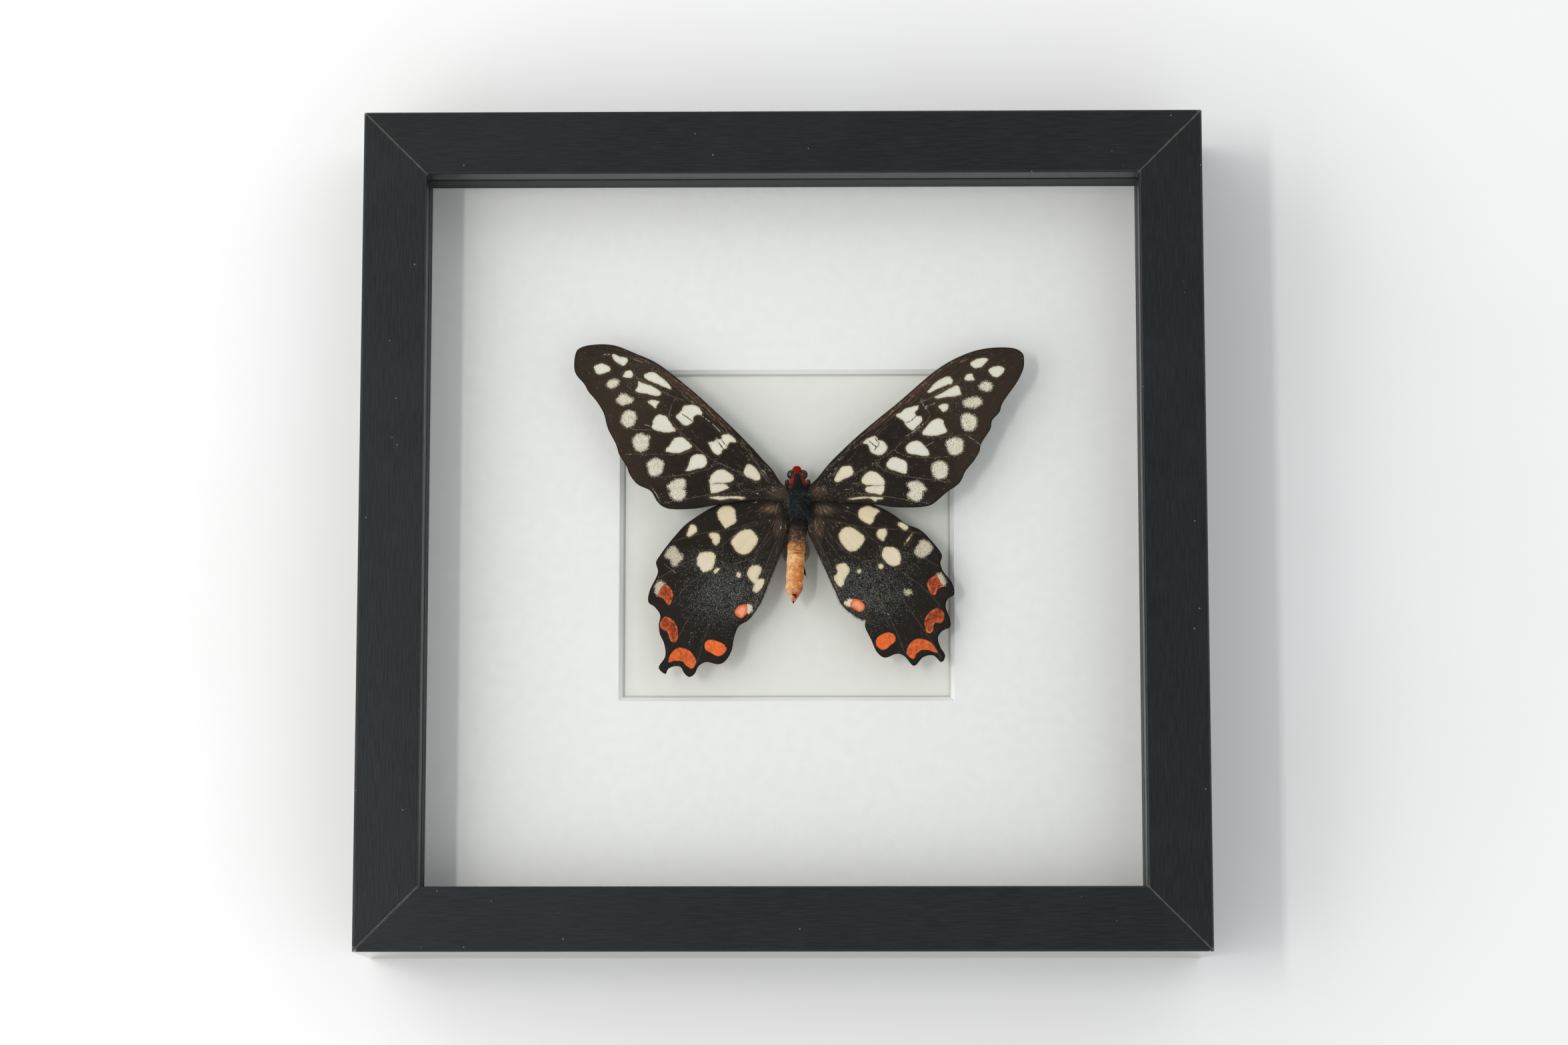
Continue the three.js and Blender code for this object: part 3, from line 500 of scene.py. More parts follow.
RHW_RED = {
    "margin_a": [
        (42.7, -15.8), (43.4, -14.5), (44.5, -13.8), (45.6, -13.2), (46.3, -14.5), (47, -15.8),
        (47.9, -16.2), (46.7, -17), (45.7, -17.5), (45.4, -18.6), (44.6, -19.3), (43.7, -18.6),
        (43.1, -17.1),
    ],
    "margin_b": [
        (41.9, -27.4), (42.3, -25.9), (43.4, -24.4), (44.8, -23.4), (46.5, -23.3), (47.6, -24.6),
        (47.8, -25.9), (47.4, -26.8), (46.7, -27.5), (45.2, -27.4), (44.6, -28.1), (44.5, -29.6),
        (43.5, -30.5), (42.6, -30.1), (42.1, -28.7),
    ],
    "crescent": [
        (36.6, -36.3), (37.1, -34.5), (38.2, -33), (40.1, -32.2), (41.9, -32.4), (43.7, -33.3),
        (45, -34.8), (45.7, -36.3), (44.1, -35.9), (42.3, -35.4), (40.8, -35.6), (39.5, -36.7),
        (38.6, -38.2), (37.7, -37.7), (36.8, -36.9),
    ],
    "margin_c": [
        (27.5, -33), (28.1, -31.7), (29.4, -30.9), (31.1, -30.3), (32.5, -30.7), (33.3, -31.7),
        (33.1, -33), (31.8, -34.1), (30.5, -35.2), (29, -35.4), (27.9, -34.5),
    ],
    "anal": [
        (19.9, -22.5), (20.8, -20.5), (22.3, -20.5), (23.4, -21.2), (24.2, -22.5), (23.9, -23.7),
        (22.8, -24.2), (21.7, -23.8), (20.8, -23.1),
    ],
}
RHW_VEINS = {
    "costal": [
        (45.6, -3.2), (42.3, -1.3), (39, -0.4), (35.7, 0.2), (32, 0.5), (24.6, 1.1), (21.3, 1.5),
        (16.9, 2.8), (11.4, 3.9), (8.1, 3.5),
    ],
    "radial": [
        (47, -11), (44.5, -9.7), (40.8, -8), (37.1, -6.7), (34.2, -6), (29.8, -5), (27.6, -3.2),
        (26.1, -2.1), (23.9, 0.1), (19.5, 1.7), (12.9, 3.1),
    ],
    "medial_a": [
        (46.7, -22.9), (45.2, -20.7), (43, -18.4), (40.8, -16.2), (38.2, -14.4), (35.7, -12.5),
        (33.4, -10.4), (30.5, -8.8),
    ],
    "medial_b": [
        (47, -38.2), (45.6, -35.6), (42.3, -30.4), (39.3, -25.9), (36.4, -21.8), (32.7, -16.2),
        (29.8, -12.5), (27.9, -9.1),
    ],
    "cubital": [
        (36, -36.3), (34.2, -31.5), (32, -26.6), (29.4, -21.8), (26.8, -17), (25, -12.5), (23.9, -9.1),
    ],
    "cell_end": [(28.7, -4.9), (29, -6.9), (28.1, -8.8), (26.1, -9), (23.9, -9)],
    "cell_lower": [(23.9, -9), (21.7, -8), (18.8, -6.2), (15.8, -3.2), (12.9, 0.2), (9.6, 2.4)],
    "anal_a": [
        (26.5, -31.5), (25.6, -27.8), (25, -24.8), (24.6, -20.7), (22.4, -16.2), (19.9, -12.5),
        (16.6, -7.3), (12.2, -1.7), (8.9, 1.7),
    ],
    "anal_b": [(16.2, -17.3), (15.1, -14), (13.3, -8.8), (11.4, -4.7), (9.2, -0.6)],
}
RHW_SCRATCHES = {
    "a": [(30.6, -24.6), (31.4, -25)],
}

# Where the grey dust of scales lies thickest: middle, half width, half length and strength.
LHW_DUST = [(-17, -18.5, 11, 9, 1.2), (-8, -14, 4, 8, 0.55), (-24, -14, 7, 6, 0.5), (-24, -9, 8, 4, 0.45)]
RHW_DUST = [(25, -18, 11, 9, 1.2), (17, -14, 4, 8, 0.55), (32, -13, 7, 6, 0.5), (33, -8, 8, 4, 0.5)]
LFW_DUST = [(-14, 15, 9, 5, 0.1), (-8, 12, 6, 3, 0.08), (-41, 44, 7, 5, 0.3)]
RFW_DUST = [(23, 15, 9, 5, 0.1), (15, 12, 6, 3, 0.08), (51, 40, 7, 5, 0.3)]

# Rubbed light brown patches beside the body, in the same form.
LHW_TAN = [(-3.8, 6.7, 2.6, 1.3, 1.0), (-1.5, 1.5, 1.2, 3.0, 0.5)]
RHW_TAN = [(12.2, 6.3, 2.8, 1.4, 1.0), (10.5, 1.2, 1.5, 3.2, 0.6)]
LFW_TAN = [(-1.5, 11.5, 2.6, 1.6, 0.6)]
RFW_TAN = [(10.6, 11.8, 2.4, 1.5, 0.5)]

# How clear each red spot is: 0 mottled brick, 1 clear orange, 2 orange with a pink middle.
RED_WARMTH = {"margin_a": 0.0, "margin_b": 0.1, "crescent": 0.7, "margin_c": 1.0, "anal": 2.0}

WINGS = {
    "left_forewing": dict(
        node="forewing_left", outline=FOREWING_LEFT, root=(0.3, 10.5), level=(32.4, 33.6, 0.9), span=78,
        pale=LFW_PALE, speckled=LFW_SPECKLED, red={}, veins=LFW_VEINS, nicks=LFW_NICKS,
        scratches=LFW_SCRATCHES, dust=LFW_DUST, tan=LFW_TAN, leading=slice(1, 12), slot="forewing"),
    "right_forewing": dict(
        node="forewing_right", outline=FOREWING_RIGHT, root=(8.9, 10.5), level=(32.4, 33.6, 0.9), span=78,
        pale=RFW_PALE, speckled=RFW_SPECKLED, red={}, veins=RFW_VEINS, nicks=RFW_NICKS,
        scratches=RFW_SCRATCHES, dust=RFW_DUST, tan=RFW_TAN, leading=slice(24, 33), slot="forewing"),
    "left_hindwing": dict(
        node="hindwing_left", outline=HINDWING_LEFT, root=(0.3, 10.5), level=(31.3, 30.2, 0.8), span=62,
        pale=LHW_PALE, speckled=LHW_SPECKLED, red=LHW_RED, veins=LHW_VEINS, nicks={},
        scratches=LHW_SCRATCHES, dust=LHW_DUST, tan=LHW_TAN, leading=slice(34, 43), slot="hindwing"),
    "right_hindwing": dict(
        node="hindwing_right", outline=HINDWING_RIGHT, root=(8.9, 10.5), level=(31.3, 30.2, 0.8), span=62,
        pale=RHW_PALE, speckled=RHW_SPECKLED, red=RHW_RED, veins=RHW_VEINS, nicks={},
        scratches=RHW_SCRATCHES, dust=RHW_DUST, tan=RHW_TAN, leading=slice(0, 9), slot="hindwing"),
}

# Body rings from the face to the tail: y, x, z of the middle, half width and half height.
FRONT_RINGS = [
    (19.5, 4.12, 30.75, 0.5, 0.5), (19.1, 4.12, 30.72, 0.9, 0.85), (18.3, 4.15, 30.68, 1.15, 1.1),
    (17.4, 4.2, 30.6, 1.5, 1.45), (16.6, 4.25, 30.5, 1.85, 1.75), (15.8, 4.3, 30.5, 2.0, 1.9),
    (14.9, 4.33, 30.5, 2.1, 1.95), (14.1, 4.38, 30.5, 2.5, 2.2), (13.2, 4.45, 30.6, 3.0, 2.5),
    (12.0, 4.47, 30.55, 3.35, 2.8), (10.6, 4.5, 30.5, 3.5, 3.3), (9.0, 4.48, 30.4, 3.6, 3.65),
    (7.2, 4.45, 30.4, 3.65, 3.8), (5.4, 4.42, 30.35, 3.4, 3.6), (3.9, 4.38, 30.2, 3.05, 3.1),
    (2.6, 4.32, 30.1, 2.75, 2.75), (1.6, 4.28, 30.0, 2.6, 2.6),
]
THORAX_MIDDLE = 4.4
HEAD_MIDDLE = 4.28
EYE_APART = 1.78
EYE_RADIUS = 1.4
TAIL_START = (1.2, 4.24, 30.0)
TAIL_END = (-21.5, 3.1, 30.0)
TAIL_STEP = 0.35
TAIL_CREASES = (-0.4, -3.1, -6.7, -10.5, -15.1, -17.4)
WAIST_END = -6.7
SEGMENT_LENGTH = 4.2
CONE_START = -17.2
CONE_LENGTH = 4.4
# Dark patches of the opening at the end of the tail: x and y of the middle, half width and half length.
TAIL_OPENING = ((3.4, -19.1, 0.75, 0.28), (3.75, -19.55, 0.3, 0.55), (3.05, -21.2, 0.25, 0.5))
# Colours along the abdomen, by y.
SKIN_BANDS = [
    (-21.8, "#b04528"), (-19.5, "#c85831"), (-17.8, "#cf6a35"), (-17.35, "#994f26"), (-17.0, "#e28a45"),
    (-15.5, "#ec964e"), (-15.1, "#a45c2c"), (-14.7, "#d78039"), (-12.5, "#dd8842"), (-10.9, "#dd8b49"),
    (-10.5, "#b06535"), (-10.1, "#e39a56"), (-7.6, "#eca763"), (-7.0, "#e69e58"), (-6.7, "#452b1b"),
    (-6.4, "#d78a49"), (-6.05, "#d28649"), (-5.85, "#824a26"), (-5.5, "#c58a50"), (-4.0, "#b37440"),
    (-3.35, "#6e4a2e"), (-3.1, "#a57a4c"), (-2.8, "#3f2c1f"), (-1.2, "#38291e"), (-0.65, "#3a2b20"),
    (-0.4, "#6d573f"), (-0.1, "#2c221c"), (1.5, "#241d19"), (3.0, "#141415"),
]
# Mottling of the abdomen: size and detail of the noise, where it starts and ends, strength, colour.
SKIN_MOTTLES = (
    (1.3, 6, 0.46, 0.6, 0.5, "#b4642f"), (0.55, 5, 0.46, 0.62, 0.45, "#f3d3a3"),
    (3.0, 3, 0.62, 0.68, 0.6, "#7b4524"),
)
# Rings of the hind leg: y, x, z of the middle and radius.
LEG_RINGS = [
    (3.4, 5.9, 27.1, 0.28), (1.7, 6.1, 27.2, 0.3), (0.0, 6.3, 27.3, 0.3), (-2.5, 6.3, 27.45, 0.28),
    (-5.0, 6.0, 27.6, 0.25), (-7.5, 5.75, 27.7, 0.2), (-10.0, 5.8, 27.82, 0.18), (-10.5, 5.95, 27.84, 0.26),
    (-11.1, 6.12, 27.86, 0.3), (-11.7, 6.3, 27.9, 0.24), (-12.3, 6.52, 27.88, 0.17),
    (-12.7, 6.68, 27.82, 0.11), (-13.2, 6.92, 27.7, 0.08), (-13.7, 7.15, 27.58, 0.04),
]
# The two collar stripes: where they start behind the eyes, the line between them and its drift to the
# right per mm, and each stripe's distance from that line and its growth per mm.
STRIPE_START = 17.2
STRIPE_MIDDLE = 4.25
STRIPE_DRIFT = 0.07
STRIPE_AWAY = 1.35
STRIPE_SPREAD = 0.27
# Rings of a shoulder plate: y, distance from the thorax's middle, z, half width and half height.
SHOULDER_RINGS = [
    (15.6, 3.0, 31.2, 0.3, 0.3), (15.35, 3.12, 31.2, 0.6, 0.5), (14.7, 3.2, 31.15, 0.7, 0.62),
    (14.0, 3.3, 31.05, 0.66, 0.58), (13.5, 3.4, 30.95, 0.35, 0.3),
]


def linear(code):
    """An sRGB hex colour as linear red, green, blue."""
    values = [int(code[i:i + 2], 16) / 255 for i in (1, 3, 5)]
    return tuple(v / 12.92 if v <= 0.04045 else ((v + 0.055) / 1.055) ** 2.4 for v in values)


def rgba(code):
    return (*linear(code), 1.0)


# ---- settings that a user would change ----
def colour_setting(name, description, code):
    return bpy.props.FloatVectorProperty(
        name=name, description=description, subtype="COLOR", size=3, min=0, max=1, default=linear(code))


def length_setting(name, description, millimetres):
    return bpy.props.FloatProperty(
        name=name, description=description, subtype="DISTANCE", unit="LENGTH", min=0, precision=5,
        default=millimetres * MM)


class SpecimenWings(bpy.types.PropertyGroup):
    thickness: length_setting("Wing thickness", "Thickness of the dried wing", 0.3)
    grid: length_setting("Mesh spacing", "Distance between the points of the wing mesh", 0.45)
    ridge: length_setting("Vein height", "Height of a vein above the membrane", 0.11)
    pleat: length_setting("Pleat depth", "Depth of the folds that run out from the root", 0.16)
    ground: colour_setting("Ground", "Dark scales between the spots, near the body", "#1c1612")
    outer_ground: colour_setting("Outer ground", "Dark scales towards the forewing's edge", "#32281e")
    leading_edge: colour_setting("Leading edge", "Brown scales along the leading edge", "#533a2c")
    cream: colour_setting("Cream", "Pale spots near the body", "#ded0b1")
    pale: colour_setting("Pale", "Pale spots towards the wing tips", "#dedcd0")
    speckle: colour_setting("Speckle", "Crowded pale scales of the marginal spots", "#f0eada")
    brick: colour_setting("Brick", "Mottled red spots of the hindwings", "#a94c2d")
    orange: colour_setting("Orange", "Clear orange spots of the hindwings", "#e86f34")
    dust: colour_setting("Dust", "Fine grey scales of the hindwings", "#a3aaa6")


class SpecimenBody(bpy.types.PropertyGroup):
    fur_length: length_setting("Fur length", "Length of the fur on the thorax", 1.5)
    fur: colour_setting("Fur", "Lit tips of the blue-black thorax fur", "#465357")
    rust: colour_setting("Rust", "Orange-red hair of the collar stripes", "#e8663c")
    scarlet: colour_setting("Scarlet", "Red hair of the face", "#e23020")
    tuft: colour_setting("Wing tuft", "Brown hair at the wing bases", "#40332a")


class SpecimenCase(bpy.types.PropertyGroup):
    lacquer: colour_setting("Lacquer", "Black finish of the rails", "#080e0f")
    raw_edge: colour_setting("Raw edge", "Fibreboard that shows at the mitres", "#a39a8c")
    board: colour_setting("Mat", "White face of the window mat", "#eff0f0")
    card: colour_setting("Card", "Pale card behind the window", "#e6e8e2")


class SpecimenStudio(bpy.types.PropertyGroup):
    floor: colour_setting("Floor", "Pale floor", "#f0f0ef")
    camera_distance: length_setting("Camera height", "Camera's height above the floor", 1245)
    lens: bpy.props.FloatProperty(
        name="Lens", description="Focal length on a 36 mm sensor", subtype="DISTANCE_CAMERA", default=94.7)
    key_power: bpy.props.FloatProperty(
        name="Key light", description="Power of the narrow window light", subtype="POWER", default=20.5)
    left_power: bpy.props.FloatProperty(
        name="Left light", description="Power of the broad soft light", subtype="POWER", default=7.0)
    dome: bpy.props.FloatProperty(
        name="Dome", description="Brightness of the surrounding white dome", default=0.83)


# ---- small tools ----
def activate(obj):
    """Makes obj the only selected and the active object."""
    if bpy.context.object and bpy.context.object.mode != "OBJECT":
        bpy.ops.object.mode_set(mode="OBJECT")
    deselect_all()
    obj.select_set(True)
    bpy.context.view_layer.objects.active = obj


def deselect_all():
    for other in bpy.context.view_layer.objects:
        other.select_set(False)


def apply_modifier(obj, kind, **settings):
    """Adds a modifier with its settings and applies it."""
    activate(obj)
    made = obj.modifiers.new(kind.title(), kind)
    for key, value in settings.items():
        setattr(made, key, value)
    bpy.ops.object.modifier_apply(modifier=made.name)


def settle(obj, slot, *nodes):
    """Applies the piece's transform, shades it smooth, fixes it to the case and hides the solids that it
    stands for; slot is not used.
    """
    activate(obj)
    bpy.ops.object.transform_apply(location=True, rotation=True, scale=True)
    bpy.ops.object.shade_smooth()
    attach(obj, "root")
    if nodes:
        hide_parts(*nodes)


def new_material(name):
    """A material whose tree holds only its output and its main shader."""
    material = bpy.data.materials.new(name)
    material.use_nodes = True
    material.node_tree.nodes.clear()
    shader = add_node(material, "ShaderNodeBsdfPrincipled")
    add_node(material, "ShaderNodeOutputMaterial", {"Surface": shader})
    return material, shader


def socket_named(sockets, key):
    if isinstance(key, int):
        return sockets[key]
    return next(s for s in sockets if s.name == key and s.enabled)


def add_node(material, kind, inputs=None, **settings):
    """Adds one node. Each input is a value, a node or a node's socket."""
    tree = material.node_tree
    made = tree.nodes.new(kind)
    for key, value in settings.items():
        setattr(made, key, value)
    for key, value in (inputs or {}).items():
        feed(material, made, key, value)
    return made


def feed(material, made, key, value):
    """Sets or links one input of a node."""
    socket = socket_named(made.inputs, key)
    if isinstance(value, bpy.types.Node):
        value = next(s for s in value.outputs if s.enabled)
    if isinstance(value, bpy.types.NodeSocket):
        material.node_tree.links.new(value, socket)
    elif socket.type == "RGBA" and len(value) == 3:
        socket.default_value = (*value, 1.0)
    else:
        socket.default_value = value


def object_millimetres(material):
    """A point's place on the piece, in mm."""
    place = add_node(material, "ShaderNodeTexCoord").outputs["Object"]
    return add_node(
        material, "ShaderNodeVectorMath", {0: place, "Scale": 1 / MM}, operation="SCALE")


# Steps that the patterns are made of: Blender's node, its inputs in order, and its settings.
PATTERN_NODES = {
    "plus": ("ShaderNodeMath", (0, 1), {"operation": "ADD"}),
    "minus": ("ShaderNodeMath", (0, 1), {"operation": "SUBTRACT"}),
    "times": ("ShaderNodeMath", (0, 1), {"operation": "MULTIPLY"}),
    "most": ("ShaderNodeMath", (0, 1), {"operation": "MAXIMUM"}),
    "below": ("ShaderNodeMath", (0, 1), {"operation": "LESS_THAN"}),
    "above": ("ShaderNodeMath", (0, 1), {"operation": "GREATER_THAN"}),
    "unsigned": ("ShaderNodeMath", (0,), {"operation": "ABSOLUTE"}),
    "fade": (
        "ShaderNodeMapRange", ("Value", "From Min", "From Max"), {"interpolation_type": "SMOOTHSTEP"}),
    "blend": ("ShaderNodeMix", ("Factor", "A", "B"), {"data_type": "RGBA"}),
    "noise": ("ShaderNodeTexNoise", ("Vector", "Scale", "Detail"), {}),
    "pair": ("ShaderNodeCombineXYZ", ("X", "Y"), {}),
}


def pattern_node(material, step, *values, **settings):
    """Adds the node of one step of a pattern. Values beyond its inputs go into further nodes of the kind."""
    kind, keys, fixed = PATTERN_NODES[step]
    made = add_node(material, kind, dict(zip(keys, values)), **fixed, **settings)
    spare = values[len(keys):]
    return pattern_node(material, step, made, *spare, **settings) if spare else made


def dress(obj, material):
    obj.data.materials.clear()
    obj.data.materials.append(material)


def dress_node(name, material):
    """Gives a CAD node its finish."""
    node = frame["nodes"][name]
    if not node.data.materials:
        node.data.materials.append(material)
    for slot in node.material_slots:
        slot.link = "OBJECT"
        slot.material = material


# ---- lines and distances of the wing markings ----
def spline(points, steps, closed):
    """Smooth line through the points."""
    p = np.asarray(points, float)
    n = len(p)
    if closed:
        p0, p1, p2, p3 = (np.roll(p, -k, axis=0) for k in (-1, 0, 1, 2))
    else:
        ends = np.vstack([2 * p[0] - p[1], p, 2 * p[-1] - p[-2]])
        p0, p1, p2, p3 = (ends[k:k + n - 1] for k in range(4))
    d0, d1, d2 = (
        np.sqrt(np.maximum(np.linalg.norm(b - a, axis=1, keepdims=True), 1e-6))
        for a, b in ((p0, p1), (p1, p2), (p2, p3)))
    m1 = ((p1 - p0) / d0 - (p2 - p0) / (d0 + d1) + (p2 - p1) / d1) * d1
    m2 = ((p2 - p1) / d1 - (p3 - p1) / (d1 + d2) + (p3 - p2) / d2) * d1
    t = (np.arange(steps) / steps)[None, :, None]
    a, b, u, v = (q[:, None] for q in (p1, p2, m1, m2))
    curve = a + u * t + (3 * (b - a) - 2 * u - v) * t ** 2 + (2 * (a - b) + u + v) * t ** 3
    curve = curve.reshape(-1, 2)
    return curve if closed else np.vstack([curve, p[-1]])


def even_loop(points, step):
    """The closed line, with points a step apart."""
    loop = np.vstack([points, points[:1]])
    run = np.concatenate([[0], np.cumsum(np.linalg.norm(np.diff(loop, axis=0), axis=1))])
    places = np.linspace(0, run[-1], int(run[-1] / step), endpoint=False)
    return np.column_stack([np.interp(places, run, loop[:, k]) for k in (0, 1)])


def line_distance(xy, line):
    """Distance from each point to an open line."""
    best = np.full(len(xy), 1e9)
    for a, b in zip(line[:-1], line[1:]):
        ab = b - a
        t = np.clip(((xy - a) @ ab) / max(ab @ ab, 1e-12), 0, 1)
        off = xy - a - t[:, None] * ab
        best = np.minimum(best, off[:, 0] ** 2 + off[:, 1] ** 2)
    return np.sqrt(best)


def line_side(xy, lines, near=0.9):
    """Signed distance to the nearest line: positive on its left, and at least near away from all lines."""
    best = np.full(len(xy), FAR)
    signed = np.full(len(xy), FAR)
    for points in lines.values():
        line = spline(points, 4, False)
        for a, b in zip(line[:-1], line[1:]):
            ab = b - a
            t = np.clip(((xy - a) @ ab) / max(ab @ ab, 1e-12), 0, 1)
            off = xy - a - t[:, None] * ab
            away = np.hypot(off[:, 0], off[:, 1])
            closer = away < best
            left = np.where(ab[0] * off[:, 1] - ab[1] * off[:, 0] >= 0, 1.0, -1.0)
            best = np.where(closer, away, best)
            signed = np.where(closer, away * left, signed)
    return np.where(best < near, signed, FAR)


def spot_distance(xy, loop):
    """Distance to a closed line, negative inside it."""
    closed = np.vstack([loop, loop[:1]])
    inside = np.zeros(len(xy), bool)
    for (x1, y1), (x2, y2) in zip(closed[:-1], closed[1:]):
        if y1 == y2:
            continue
        crosses = (xy[:, 1] > min(y1, y2)) & (xy[:, 1] <= max(y1, y2))
        inside ^= crosses & (xy[:, 0] < x1 + (xy[:, 1] - y1) * (x2 - x1) / (y2 - y1))
    return line_distance(xy, closed) * np.where(inside, -1, 1)


def nearest(xy, lines, closed):
    """Distance to the nearest of several spots or lines."""
    best = np.full(len(xy), FAR)
    for points in lines.values():
        curve = spline(points, 4, closed)
        best = np.minimum(best, spot_distance(xy, curve) if closed else line_distance(xy, curve))
    return best


def blobs(xy, places):
    """Soft round patches: middle, half width, half length and strength of each."""
    field = np.zeros(len(xy))
    for x, y, wide, long, strength in places:
        away = ((xy[:, 0] - x) / wide) ** 2 + ((xy[:, 1] - y) / long) ** 2
        field = np.maximum(field, strength * np.exp(-away ** 1.5))
    return field


def red_readings(xy, spots):
    """Distance to the nearest red spot, and how orange that spot is."""
    best, warmth = np.full(len(xy), FAR), np.zeros(len(xy))
    for key, points in spots.items():
        away = spot_distance(xy, spline(points, 4, True))
        warmth = np.where(away < best, RED_WARMTH[key], warmth)
        best = np.minimum(best, away)
    return best, warmth


def wing_points(outline, step):
    """Points on and inside the outline, on a triangular grid."""
    rim = even_loop(spline(outline, 12, True), step)
    low, high = rim.min(0), rim.max(0)
    grid = []
    for k, y in enumerate(np.arange(low[1], high[1], step * ROW_HEIGHT)):
        row = np.arange(low[0] + (k % 2) * step / 2, high[0], step)
        grid.append(np.column_stack([row, np.full(len(row), y)]))
    grid = np.vstack(grid)
    inner = grid[spot_distance(grid, rim) < -0.55 * step]
    return rim, inner


def wing_relief(ray, reach, vein, edge, ridge, pleat):
    """Lift of veins, radiating folds and the turned-down rim, in mm."""
    veins = ridge * np.exp(-(vein / 0.32) ** 2) - ridge * 0.5 * np.exp(-((vein - 1.0) / 0.8) ** 2)
    out = np.clip((reach - 8) / 18, 0, 1)
    folds = pleat * out * (0.6 * np.sin(ray * 31 + 1.1) + 0.4 * np.sin(ray * 67 + reach * 0.12))
    swell = pleat * 0.8 * np.sin(reach * 0.23 + 3 * np.sin(ray * 3.1))
    return veins + folds + swell - 0.16 * np.exp(-(edge / 0.5) ** 2)


def build_wing(name, wing, settings):
    """One wing: outline, inner grid, relief, thickness, and what its scales read."""
    step = settings.grid / MM
    rim, inner = wing_points(wing["outline"], step)
    flat = np.vstack([rim, inner])
    faces = [list(range(len(rim)))]
    points, _, triangles, _, _, _ = delaunay_2d_cdt([Vector(p) for p in flat], [], faces, 1, 1e-5)
    xy = np.array([(p.x, p.y) for p in points])
    offset = xy - np.array(wing["root"])
    reach = np.hypot(offset[:, 0], offset[:, 1])
    outward = np.where(wing["root"][0] < 4, -1, 1)
    ray = np.arctan2(offset[:, 1], offset[:, 0] * outward)
    edge = line_distance(xy, np.vstack([rim, rim[:1]]))
    vein = nearest(xy, wing["veins"], False)
    root_level, tip_level, camber = wing["level"]
    along = np.minimum(1, reach / wing["span"])
    height = root_level + (tip_level - root_level) * along + camber * np.sin(np.pi * along)
    height = height + wing_relief(ray, reach, vein, edge, settings.ridge / MM, settings.pleat / MM)
    red, warmth = red_readings(xy, wing["red"])
    margin = spline(wing["outline"][wing["leading"]], 4, False)
    readings = {
        "pale": nearest(xy, wing["pale"], True), "speckled": nearest(xy, wing["speckled"], True),
        "red": red, "warmth": warmth, "vein": vein, "vein_side": line_side(xy, wing["veins"]),
        "nick": nearest(xy, wing["nicks"], False), "scratch": line_side(xy, wing["scratches"]),
        "rim": edge, "reach": reach, "ray": ray, "dust": blobs(xy, wing["dust"]),
        "tan": blobs(xy, wing["tan"]), "margin": line_distance(xy, margin),
    }
    mesh = bpy.data.meshes.new(name)
    mesh.from_pydata(np.column_stack([xy, height]) * MM, [], [list(t) for t in triangles])
    for key, values in readings.items():
        layer = mesh.attributes.new(key, "FLOAT", "POINT")
        layer.data.foreach_set("value", values.astype(np.float32))
    obj = bpy.data.objects.new(name, mesh)
    bpy.context.scene.collection.objects.link(obj)
    apply_modifier(obj, "SOLIDIFY", thickness=settings.thickness, offset=0)
    settle(obj, wing["slot"], wing["node"])
    return obj


# What the scales of all four wings read from the mesh.
WING_READINGS = (
    "pale", "speckled", "vein_side", "nick", "scratch", "rim", "reach", "ray", "dust", "tan", "margin")


